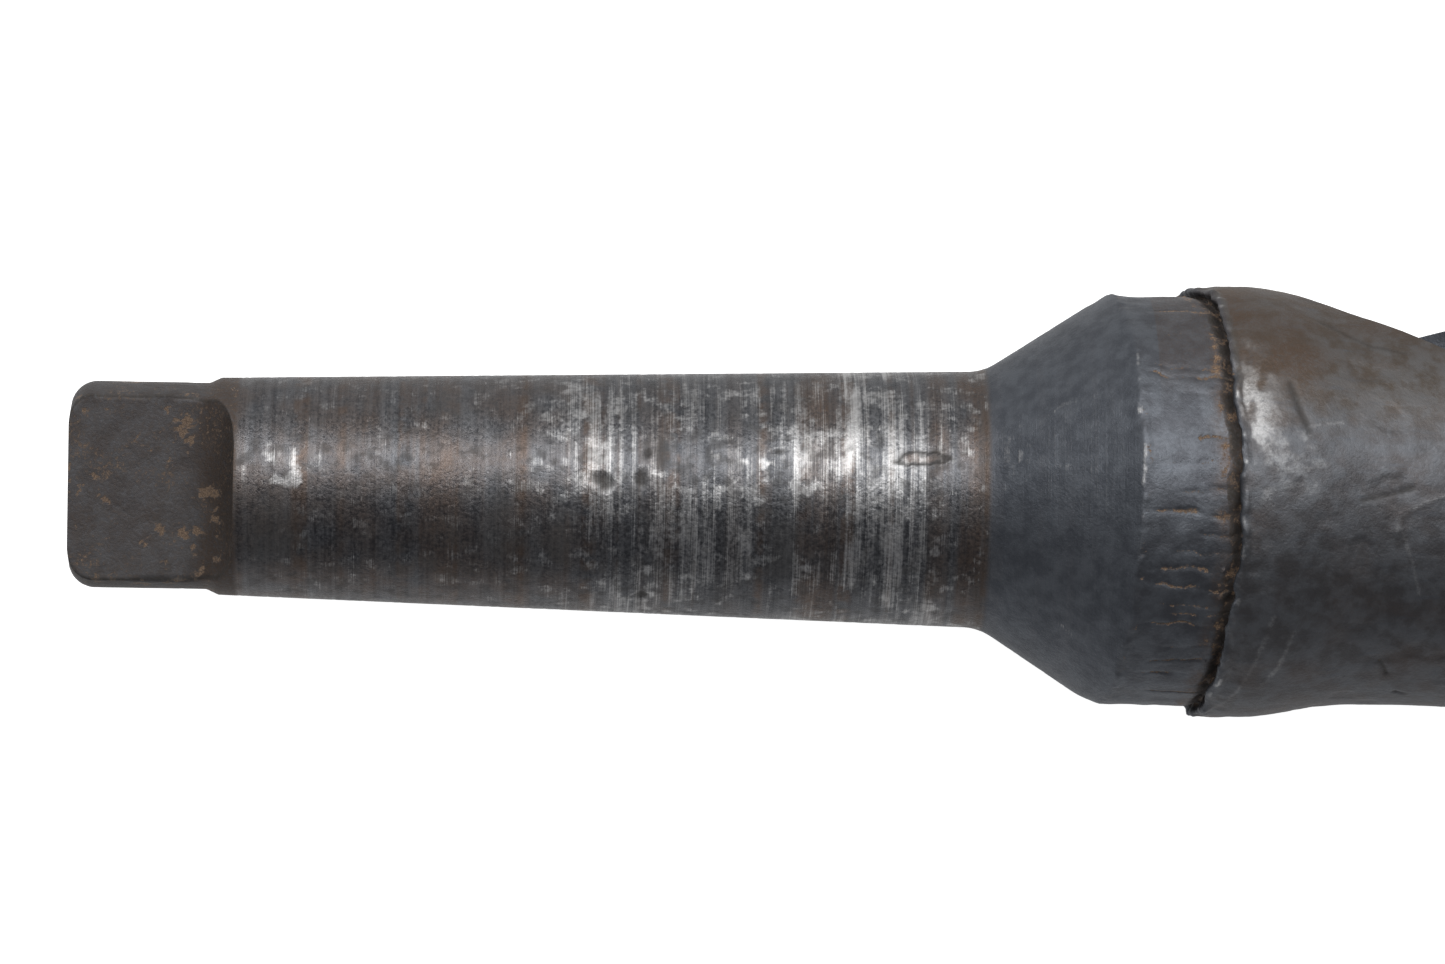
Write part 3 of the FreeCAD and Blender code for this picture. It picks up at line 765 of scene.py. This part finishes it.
# folds in the shoulder: a line of places and turns, its width and depth, and how rusty it is
FOLDS = [
    ([(77.7, 93), (78.5, 89), (81.3, 86), (84.4, 84), (90, 81)], 0.7, -0.1, 0),
    ([(78.5, 92.5), (80.5, 101), (82.3, 110.5)], 0.6, -0.06, 0),
    ([(57.2, 115.5), (53.4, 138), (49.5, 155)], 0.7, -0.08, 0),
    ([(71.6, 85), (76, 83.5), (80.3, 81.5)], 0.4, 0.14, 0.1),
    ([(59.5, 55), (60.9, 62), (62.5, 68)], 0.6, 0.22, 0.1),
    ([(60.5, 68), (64, 66), (68.5, 65)], 0.4, -0.05, 0),
    ([(76.8, 133.5), (78.2, 139)], 0.45, 0.3, 0.3),
    ([(80.6, 150.5), (82, 152)], 0.45, 0.3, 0.3),
    ([(61, 120), (59, 132), (56.5, 140)], 0.8, -0.06, 0),
    ([(66, 30), (74, 38), (80, 40)], 0.6, 0.15, 0.15),
    ([(55, -120), (66, -110), (80, -112)], 0.9, 0.5, 0.3),
    ([(58, -60), (70, -66), (76, -80)], 0.8, -0.1, 0),
]


def laps(along, turn, at):
    """Depth and bright edges of the cracks drawn out along the neck."""
    depth = np.zeros(along.shape)
    edge = np.zeros(along.shape)
    share = (along - RIDGE_MIDDLE) / (lip_place(turn) - RIDGE_MIDDLE)
    sway = 1.3 * noise(at, 6, 61, 2) + 0.4 * noise(at, 1.6, 62, 2)
    broken = np.clip(0.9 + 0.7 * noise(at, 3.0, 63, 2), 0.2, 1)
    for middle, first, last, deep in NECK_LAPS:
        across = round_gap(turn, middle + sway, NECK_RADIUS)
        reach = broken * within(share, first, last, 0.12, 0.1)
        depth = np.maximum(depth, deep * reach * bell(across, 0, 0.34))
        edge = np.maximum(edge, reach * bell(across, -0.6, 0.26))
    return depth, edge


def lap_depth(surface, at, fine, neck):
    """Rusty laps with bright edges along the neck, darkened down the middle as painted shade in the crack."""
    crack, edge = laps(surface.along, surface.turn, at)
    surface.paint("rust", limited(1.5 * crack * neck, 0.7))
    # painted shade down the middle of each crack
    surface.paint("dark", limited(1.5 * crack * neck - 0.3, 0.5))
    surface.paint("bright", 0.35 * edge * neck * limited(0.5 + fine))
    return 0.5 * crack * neck


def fold_depth(surface, fine, forged):
    """Folds and ridges hammered into the shoulder."""
    depth = 0
    for path, width, deep, rusty in FOLDS:
        gap = path_gap(surface.along, surface.turn, CUTTING_RADIUS, path) + 0.25 * fine
        line = bell(np.maximum(gap, 0), 0, width) * forged
        depth = depth + deep * line
        fill, strength = ("dark", 0.6) if deep > 0 else ("bright", 0.35)
        surface.paint(fill, strength * line)
        surface.paint("rust", rusty * line)
    return depth


def lip_wear(surface, at, fine, lip_gap, lip_rise, on_lip, neck):
    """A crevice under the lip painted dark, partly as grime and partly as the shade under the overhang,
    stains beside it and a bright nose.
    """
    near = -2.3 + 0.7 * noise(at, 4.0, 76, 2)
    crevice = ramp(near - 0.7, near + 0.2, lip_gap) * ramp(0.45, -0.2, lip_rise) * on_lip
    crumbs = noise(tilted(at), 1.6, 77, 3)
    # painted shade and grime: the crevice under the overhanging lip is darkened
    surface.paint("dark", crevice * np.clip(0.62 + 0.7 * crumbs, 0.1, 0.9))
    surface.paint("rust", crevice * limited(0.15 - 0.8 * crumbs, 0.5))
    surface.paint("brown", crevice)
    upper = ramp(75, 35, surface.turn % 360)
    beside = bell(lip_gap, -3.2, 1.6) * neck
    surface.paint("brown", beside * limited(0.5 + 0.6 * fine + 0.3 * upper))
    surface.paint("rust", beside * limited(0.05 + 0.6 * fine + 0.35 * upper, 0.6))
    nose = bell(lip_gap, -0.1, 0.6) * ramp(0.9, 1.25, lip_rise)
    surface.paint("bright", nose * limited(0.9 * noise(at, 1.6, 74, 2), 0.7))


def shoulder_wear(surface, at, lumps, fine, lip_gap, shoulder, forged):
    """Bare metal near the lip and brown stains over the forging."""
    turn = surface.turn
    mottle = limited(0.3 + 0.45 * lumps + 0.5 * fine, 0.6) * shoulder
    bare = ramp(9 + 5 * lumps, 1.0, lip_gap) * near_turn(turn, 69, 48, 10)
    rubbed = ramp(26, 8, lip_gap) * near_turn(turn, 75, 16, 3)
    surface.paint("bright", np.maximum(bare, 0.7 * rubbed) * mottle)
    near_lip = ramp(5, 0.5, lip_gap) * shoulder * ramp(100, 130, turn % 360)
    surface.paint("bright", 0.35 * near_lip * limited(0.5 + fine))
    stain = near_turn(turn, 30, 34, 16) * limited(0.6 + 0.8 * lumps)
    faint = 0.45 * limited(noise(at, 9, 75, 3))
    surface.paint("brown", np.maximum(stain, faint) * forged * shoulder)


def body_finish(surface, lip_gap, lip_rise, on_lip, outside):
    """Wear and colour of the neck, the lip, the shoulder, the lands and the flutes."""
    along, turn = surface.along, surface.turn
    at = surface.points()
    forged = ramp(FORGING_END, 90, along)
    shoulder = ramp(0.3, 1.2, lip_gap)
    neck = 1 - ramp(-0.6, 0.2, lip_gap)
    lumps = noise(at, 12, 71, 3)
    fine = noise(at, 2.4, 72, 3)
    dents = ramp(0.15, 0.75, noise(at, 5.5, 73, 2))
    lands = (1 - forged) * outside
    surface.blue[:] = 0.85 * neck + 0.6 * (1 - neck) * forged * ramp(52, 72, turn % 360)
    surface.flute[:] = surface.flute * ramp(0, 1, 1 - outside)
    surface.ground[:] = lands
    surface.paint("brown", 0.4 * neck * near_turn(turn, 26, 36, 16))
    surface.paint("brown", 0.5 * lands * limited(0.2 + lumps))
    lip_wear(surface, at, fine, lip_gap, lip_rise, on_lip, neck)
    shoulder_wear(surface, at, lumps, fine, lip_gap, shoulder, forged)
    depth = forged * shoulder * (0.16 * np.abs(lumps) + 0.04 * np.abs(fine) + 0.16 * dents)
    depth = depth + lap_depth(surface, at, fine, neck) + fold_depth(surface, fine, forged)
    surface.radius = surface.radius - depth * outside


def box_reach(turn):
    """How far out the CAD model's own box lets a point lie."""
    low, high = cad_bounds
    side, up = np.cos(np.radians(turn)), np.sin(np.radians(turn))
    across = np.where(side > 0, high.y, -low.y) / np.maximum(np.abs(side), 1e-6)
    above = np.where(up > 0, high.z, -low.z) / np.maximum(np.abs(up), 1e-6)
    return np.minimum(across, above) / MM


def body_rows(outlines):
    """Each point's place along the body, how far out the lip's profile lies, and which rows are the lip."""
    profile = np.array(LIP_PROFILE)
    profile_along, profile_out = resample(profile, LIP_ROWS, *profile.T)
    # the neck, the crevice, the lip's profile and top, then the shoulder, the fade and the lands
    rows = [
        np.linspace(WELD_END, LIP_MIDDLE - LIP_REACH, 22, endpoint=False),
        LIP_MIDDLE + np.arange(-LIP_REACH, LIP_PROFILE[0][0], 0.36),
        LIP_MIDDLE + profile_along,
        LIP_MIDDLE + np.linspace(LIP_PROFILE[-1][0], LIP_REACH, 9)[1:],
        np.linspace(LIP_MIDDLE + LIP_REACH, LIP_FADE, 72)[1:],
        np.linspace(LIP_FADE, FORGING_END, 50)[1:],
        np.linspace(FORGING_END, CORNER - 12, 118)[1:],
    ]
    first = len(rows[0]) + len(rows[1])
    rows = np.concatenate(rows)
    out = np.zeros((len(rows) + POINT_ROWS, 1))
    on_lip = out.copy()
    out[first:first + LIP_ROWS, 0] = profile_out
    on_lip[first:first + LIP_ROWS] = 1
    plain = np.repeat(rows[:, None], COLUMNS, axis=1)
    along = plain
    for _ in range(3):
        _, turn, _ = outlines.read(along)
        lip = lip_place(turn)
        room = LIP_MIDDLE - LIP_REACH - WELD_END
        before = WELD_END + (plain - WELD_END) * (lip - LIP_REACH - WELD_END) / room
        room = LIP_FADE - LIP_MIDDLE - LIP_REACH
        after = LIP_FADE + (plain - LIP_FADE) * (LIP_FADE - lip - LIP_REACH) / room
        along = np.where(plain < LIP_MIDDLE - LIP_REACH, before, lip + plain - LIP_MIDDLE)
        along = np.where(plain > LIP_MIDDLE + LIP_REACH, after, along)
        along = np.where(plain > LIP_FADE, plain, along)
    last = along[-1, 0]
    tail = last + (flank_places(outlines) - last) * np.linspace(0, 1, POINT_ROWS + 1)[1:, None]
    return np.concatenate([along, tail]), out, on_lip


def make_body():
    outlines = Outlines()
    along, out, on_lip = body_rows(outlines)
    radius, turn, cut = outlines.read(along)
    lip_gap = along - lip_place(turn)
    neck, _, at = neck_surface(along, turn)
    ragged = 1 + 0.35 * noise(at, 3.5, 81, 2) * ramp(1.0, -0.2, lip_gap)
    past = ramp(0.8, 3.5, lip_gap)
    radius = np.where((on_lip > 0.5) | (lip_gap < LIP_PROFILE[0][0]), neck + out * ragged, radius)
    joined = (lip_gap >= LIP_PROFILE[-1][0]) & (on_lip < 0.5) & (along < SHOULDER_END)
    skin = (neck - forging_radius(turn, NECK_RADIUS)) * (1 - past)
    radius = np.where(joined, radius + skin, radius)
    surface = Surface(along, radius, turn)
    surface.flute[:] = cut
    rise = np.where(on_lip > 0.5, out, np.where(lip_gap > 0, SHOULDER_RISE, 0))
    body_finish(surface, lip_gap, rise, on_lip, 1 - cut)
    surface.radius = np.minimum(surface.radius, box_reach(turn))
    return close_body(surface)


def close_body(surface):
    """Add the face that meets the weld and the point's flanks."""
    points = surface.points().reshape(-1, 3)
    count = len(points)
    numbers = np.arange(count).reshape(-1, COLUMNS)
    faces = ring_faces(numbers)
    rim = numbers[-1]
    half = FLUTE_COLUMNS // 2
    tooth = LAND_COLUMNS + MARGIN_COLUMNS
    share = np.linspace(0, 1, tooth + 1)[1:-1]
    core = []
    for bottom in (half, half + FLUTE_COLUMNS + tooth):
        # the tooth between this flute's bottom and the next one's
        grid = np.empty((half + 1, tooth + 1), int)
        grid[:, 0] = rim[(bottom + np.arange(half + 1)) % COLUMNS]
        grid[:, -1] = rim[(bottom + FLUTE_COLUMNS + tooth - np.arange(half + 1)) % COLUMNS]
        grid[-1] = rim[(bottom + half + np.arange(tooth + 1)) % COLUMNS]
        radius, turn = polar(points[grid[:-1, [0, -1]]])
        radius = radius[:, :1] + np.diff(radius) * share
        turn = turn[:, :1] + np.diff(turn) % 360 * share
        grid[:-1, 1:-1] = len(points) + np.arange(radius.size).reshape(radius.shape)
        inner = on_section(flank_place(radius, turn), radius, turn)
        points = np.concatenate([points, inner.reshape(-1, 3)])
        faces += grid_faces(grid, False)
        core.append(grid[0, :-1])
    points, core_faces = close_core(points, np.concatenate(core))
    faces += core_faces
    points = np.concatenate([points, [[WELD_END, 0, 0]]])
    faces += fan_faces(numbers[0], len(points) - 1, False)
    return build_mesh("fluted_body_steel", points, faces, surface.values(len(points) - count, ground=1.0))


def polar(points):
    """The radius and turn of each point."""
    _, side, up = np.moveaxis(points, -1, 0)
    return np.hypot(side, up), np.degrees(np.arctan2(up, side))


def close_core(points, ring):
    """Rings that close the web's core up to the chisel edge and the tip."""
    faces = []
    radius, turn = polar(points[ring])
    for share in (0.8, 0.6, 0.4, 0.2, 0.08):
        following = len(points) + np.arange(len(ring))
        inner = on_section(flank_place(radius * share, turn), radius * share, turn)
        points = np.concatenate([points, inner])
        faces += ring_faces(np.stack([ring, following]))
        ring = following
    points = np.concatenate([points, [[TIP, 0, 0]]])
    return points, faces + fan_faces(ring, len(points) - 1, True)


# ---- weld

WELD_ROWS = 21


def make_weld():
    """The fused zone, where the turned cone breaks out through the forged skin."""
    places = np.linspace(WELD_START, WELD_END, WELD_ROWS)
    turns = np.linspace(0, 360, COLUMNS, endpoint=False)
    along, turn = np.meshgrid(places, turns, indexing="ij")
    radius, reach, _ = neck_surface(along, turn)
    surface = Surface(along, radius, turn)
    surface.ground[:] = 1
    surface.blue[:] = 0.8
    cone_finish(surface)
    crack, _ = laps(along, turn, surface.points())
    skin = ramp(0.2, 1.5, reach)
    surface.radius = surface.radius - 0.5 * crack * skin
    surface.paint("rust", limited(1.5 * crack, 0.7) * skin)
    points = np.concatenate([surface.points().reshape(-1, 3), [[WELD_START, 0, 0], [WELD_END, 0, 0]]])
    numbers = np.arange(len(points) - 2).reshape(WELD_ROWS, COLUMNS)
    faces = ring_faces(numbers)
    faces += fan_faces(numbers[0], len(points) - 2, False)
    faces += fan_faces(numbers[-1], len(points) - 1, True)
    return build_mesh("weld_joint_steel", points, faces, surface.values(2))


# ---- materials

class Graph:
    """A material's nodes, made by short calls that return an output socket."""

    def __init__(self, tree):
        self.tree = tree

    def connect(self, socket, value):
        """Link another socket to this one, or give it a fixed value."""
        if isinstance(value, bpy.types.NodeSocket):
            self.tree.links.new(value, socket)
        else:
            socket.default_value = (*value, 1.0) if socket.type == "RGBA" else value

    def add(self, kind, inputs, output=0, **settings):
        made = self.tree.nodes.new(kind)
        for name, value in settings.items():
            setattr(made, name, value)
        for name, value in inputs.items():
            self.connect(made.inputs[name], value)
        return made.outputs[output]

    def math(self, operation, a, b, clamp=False):
        return self.add("ShaderNodeMath", {0: a, 1: b}, operation=operation, use_clamp=clamp)

    def plus(self, a, b):
        return self.math("ADD", a, b)

    def minus(self, a, b, clamp=False):
        return self.math("SUBTRACT", a, b, clamp)

    def times(self, a, b):
        return self.math("MULTIPLY", a, b)

    def swing(self, noise, gain):
        """A noise's swing to both sides of its middle value."""
        return self.times(self.minus(noise, 0.5), gain)

    def between(self, value, low, high, out_low=0.0, out_high=1.0):
        inputs = {"Value": value, "From Min": low, "From Max": high, "To Min": out_low, "To Max": out_high}
        return self.add("ShaderNodeMapRange", inputs, interpolation_type="SMOOTHSTEP")

    def noise(self, place, stretch, scale, detail, roughness):
        inputs = {"Scale": scale, "Detail": detail, "Roughness": roughness}
        return self.add("ShaderNodeTexNoise", {"Vector": self.stretch(place, stretch), **inputs})

    def stretch(self, place, scale):
        return self.add("ShaderNodeMapping", {"Vector": place, "Scale": scale})

    def blend(self, share, a, b):
        """Mix two colours."""
        return self.add("ShaderNodeMix", {"Factor": share, 6: a, 7: b}, 2, data_type="RGBA")

    def mix(self, share, a, b):
        """Mix two numbers."""
        return self.add("ShaderNodeMix", {"Factor": share, 2: a, 3: b})


GROUND_DARK = (0.03, 0.031, 0.034)
GROUND_LIGHT = (0.078, 0.079, 0.083)
FORGED_BROWN = (0.056, 0.047, 0.04)
FORGED_GREY = (0.078, 0.075, 0.074)
BLUE_STEEL = (0.064, 0.07, 0.08)
BLUE_BLACK = (0.044, 0.048, 0.056)
STAIN_BROWN = (0.062, 0.041, 0.029)
RUST_DARK = (0.046, 0.026, 0.014)
RUST_LIGHT = (0.13, 0.084, 0.05)
BARE_STEEL = (0.3, 0.298, 0.296)
# colour of the dark layer: scale and grime, and painted shade in the lip's crevice and the laps
GRIME_AND_SHADE = (0.016, 0.014, 0.012)
EDGE_TINT = (0.66, 0.66, 0.66, 1.0)
FLUTE_STEEL = (0.04, 0.043, 0.049)

# the steel's noises: how they are stretched, their scale per millimetre, detail and roughness
EVEN, ROUND = (1.0, 1.0, 1.0), (1.0, 0.012, 0.012)
SHORT, DRAWN = (1.0, 0.12, 0.12), (0.1, 1.0, 1.0)
TEXTURES = {
    "middle": (EVEN, 0.28, 6.0, 0.6), "fine": (EVEN, 1.6, 6.0, 0.65), "grit": (EVEN, 5.0, 3.0, 0.6),
    "rings": (ROUND, 0.9, 8.0, 0.72), "bands": (ROUND, 0.16, 4.0, 0.6), "lines": (ROUND, 4.5, 4.0, 0.7),
    "drawn": (DRAWN, 0.7, 5.0, 0.6), "streaks": (SHORT, 2.6, 6.0, 0.7),
}


def new_material(name):
    """A material and its shader."""
    material = bpy.data.materials.new(name)
    material.use_nodes = True
    return material, material.node_tree.nodes["Principled BSDF"]


def make_steel(name, ring_strength):
    """Used forged and ground steel. Values on the mesh say where it is ground, stained, worn or rusty."""
    material, shader = new_material(name)
    graph = Graph(material.node_tree)
    place = graph.stretch(graph.add("ShaderNodeTexCoord", {}, "Object"), (1 / MM, 1 / MM, 1 / MM))
    middle, fine, grit, rings, bands, lines, drawn, streaks = (
        graph.noise(place, *texture) for texture in TEXTURES.values())
    ground, blue, brown, bright, dark, rust, flute = (
        graph.add("ShaderNodeAttribute", {}, "Fac", attribute_name=label) for label in Surface.LABELS)

    ring_tone = graph.plus(graph.times(rings, ring_strength), graph.times(middle, 0.35))
    ring_tone = graph.plus(ring_tone, graph.plus(graph.swing(fine, 0.9), graph.swing(streaks, 0.35)))
    ground_colour = graph.blend(graph.between(ring_tone, 0.36, 0.88), GROUND_DARK, GROUND_LIGHT)
    warm = graph.times(graph.between(bands, 0.48, 0.62), graph.between(middle, 0.35, 0.6))
    ground_colour = graph.blend(graph.times(warm, 0.55), ground_colour, STAIN_BROWN)
    forged_colour = graph.blend(graph.between(middle, 0.36, 0.64), FORGED_BROWN, FORGED_GREY)
    colour = graph.blend(graph.between(drawn, 0.55, 0.75, 0.0, 0.5), forged_colour, BLUE_STEEL)
    blue_colour = graph.blend(graph.between(middle, 0.35, 0.65), BLUE_BLACK, BLUE_STEEL)
    brown_share = graph.times(brown, graph.between(fine, 0.3, 0.62, 0.35, 1.0))
    rust_edge = graph.plus(rust, graph.swing(fine, 1.6))
    rust_share = graph.times(graph.between(rust_edge, 0.3, 0.62), graph.between(rust, 0.02, 0.2))
    rust_colour = graph.blend(graph.between(grit, 0.42, 0.62), RUST_DARK, RUST_LIGHT)
    worn_lines = graph.swing(graph.mix(0.35, lines, fine), 2.6)
    worn_grain = graph.swing(graph.mix(0.5, middle, fine), 1.2)
    bare_edge = graph.plus(bright, graph.mix(ground, worn_grain, worn_lines))
    bare_share = graph.times(graph.between(bare_edge, 0.15, 1.15), graph.between(bright, 0.0, 0.35))
    # the dark layer: real scale and grime, and painted shade in the crevice and down the laps
    grime_and_shade_share = graph.times(dark, graph.between(fine, 0.25, 0.55, 0.6, 1.0))
    layers = [
        (ground, ground_colour), (blue, blue_colour), (graph.times(brown_share, 0.8), STAIN_BROWN),
        (graph.times(flute, 0.9), FLUTE_STEEL), (rust_share, rust_colour),
        (graph.times(bare_share, 0.85), BARE_STEEL), (grime_and_shade_share, GRIME_AND_SHADE),
    ]
    for share, layer in layers:
        colour = graph.blend(share, colour, layer)

    rough = graph.between(middle, 0.3, 0.7, 0.52, 0.64)
    layers = [
        (ground, graph.between(fine, 0.3, 0.7, 0.3, 0.52)),
        (blue, graph.between(fine, 0.3, 0.7, 0.5, 0.6)),
        (bare_share, 0.38), (rust_share, 0.8), (grime_and_shade_share, 0.75),
    ]
    for share, layer in layers:
        rough = graph.mix(share, rough, layer)
    metal = graph.minus(1.0, graph.times(rust_share, 0.85), True)
    metal = graph.minus(metal, graph.times(grime_and_shade_share, 0.5), True)

    ground_height = graph.plus(graph.times(lines, 0.4), graph.times(fine, 1.1))
    scale_height = graph.plus(graph.times(fine, 0.9), graph.times(middle, 1.1))
    height = graph.minus(graph.mix(ground, scale_height, ground_height), graph.times(rust_share, 0.35))
    normal = graph.add("ShaderNodeBump", {"Height": height, "Strength": 0.55, "Distance": 0.2 * MM})

    shader.inputs["Specular Tint"].default_value = EDGE_TINT
    inputs = {"Base Color": colour, "Roughness": rough, "Metallic": metal, "Normal": normal}
    for name, source in inputs.items():
        graph.connect(shader.inputs[name], source)
    return material


# ---- studio

FLOOR_SIZE = 12.0
FLOOR_COLOUR = (0.35, 0.35, 0.35, 1)
FLOOR_ROUGHNESS = 0.9
FLOOR_GLOW = 0.93
ROOM_DARK = (0.34, 0.345, 0.365)
ROOM_LIGHT = (1.1, 1.1, 1.1)
SOFTBOX_PLACE = (-0.03, 0.88, 1.23)
SOFTBOX_SIZE = (1.9, 0.38)
SOFTBOX_POWER = 40.0
VIEW_WIDTH = 0.2525
LENS = 168.0
SENSOR = 36.0
VIEW_CENTRE = Vector((-0.0359, 0.0023, 0.0))
VIEW_YAW = 1.6
VIEW_TILT = 3.3
VIEW_ROLL = 1.03


def make_floor():
    """A plain pale floor under the lowest point of the drill."""
    reach, level = FLOOR_SIZE / 2, FLOOR * MM
    corners = [(x * reach, y * reach, level) for x, y in ((-1, -1), (1, -1), (1, 1), (-1, 1))]
    mesh = bpy.data.meshes.new("floor")
    mesh.from_pydata(corners, [], [(0, 1, 2, 3)])
    material, shader = new_material("pale_floor")
    shader.inputs["Base Color"].default_value = FLOOR_COLOUR
    shader.inputs["Roughness"].default_value = FLOOR_ROUGHNESS
    shader.inputs["Emission Color"].default_value = (1, 1, 1, 1)
    shader.inputs["Emission Strength"].default_value = FLOOR_GLOW
    mesh.materials.append(material)
    floor = add_object("floor", mesh)


def make_softbox():
    """A rectangular lamp that faces the drill."""
    lamp = bpy.data.lights.new("softbox", "AREA")
    lamp.shape = "RECTANGLE"
    lamp.size, lamp.size_y = SOFTBOX_SIZE
    lamp.energy = SOFTBOX_POWER
    holder = add_object("softbox", lamp)
    holder.location = SOFTBOX_PLACE
    holder.rotation_euler = (-Vector(SOFTBOX_PLACE)).to_track_quat("-Z", "Y").to_euler()


def make_world():
    """A dim room that is lighter on the +Y side than on the -Y side."""
    world = bpy.data.worlds.new("studio")
    world.use_nodes = True
    bpy.context.scene.world = world
    graph = Graph(world.node_tree)
    direction = graph.add("ShaderNodeTexCoord", {}, "Generated")
    side = graph.add("ShaderNodeSeparateXYZ", {"Vector": direction}, "Y")
    colour = graph.blend(graph.between(side, -0.55, 0.95), ROOM_DARK, ROOM_LIGHT)
    background = world.node_tree.nodes["Background"]
    graph.connect(background.inputs["Color"], colour)
    background.inputs["Strength"].default_value = 1.0


def make_camera():
    """A long lens that looks almost straight down on the shank and the neck."""
    data = bpy.data.cameras.new("camera")
    data.lens = LENS
    data.sensor_width = SENSOR
    data.clip_start = 0.01
    distance = VIEW_WIDTH * LENS / SENSOR
    yaw, tilt = math.radians(VIEW_YAW), math.radians(VIEW_TILT)
    back = Vector((-math.sin(yaw), math.sin(tilt), math.cos(yaw) * math.cos(tilt))).normalized()
    right = Vector((1, 0, 0))
    right = (right - right.dot(back) * back).normalized()
    up = back.cross(right)
    roll = math.radians(VIEW_ROLL)
    right, up = right * math.cos(roll) + up * math.sin(roll), up * math.cos(roll) - right * math.sin(roll)
    camera = add_object("camera", data)
    turned = Matrix((right, up, back)).transposed().to_4x4()
    camera.matrix_world = Matrix.Translation(VIEW_CENTRE + back * distance) @ turned
    bpy.context.scene.camera = camera


def place_piece(piece, node, material):
    piece.data.materials.append(material)
    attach(piece, "root")
    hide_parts(node)


def main():
    place_piece(make_shank(), "taper_shank", make_steel("shank_steel", 0.9))
    place_piece(make_weld(), "weld_joint", make_steel("weld_steel", 0.7))
    place_piece(make_body(), "fluted_body", make_steel("high_speed_steel", 0.8))
    make_floor()
    make_world()
    make_softbox()
    make_camera()
    bpy.context.scene.view_settings.view_transform = "Standard"


main()
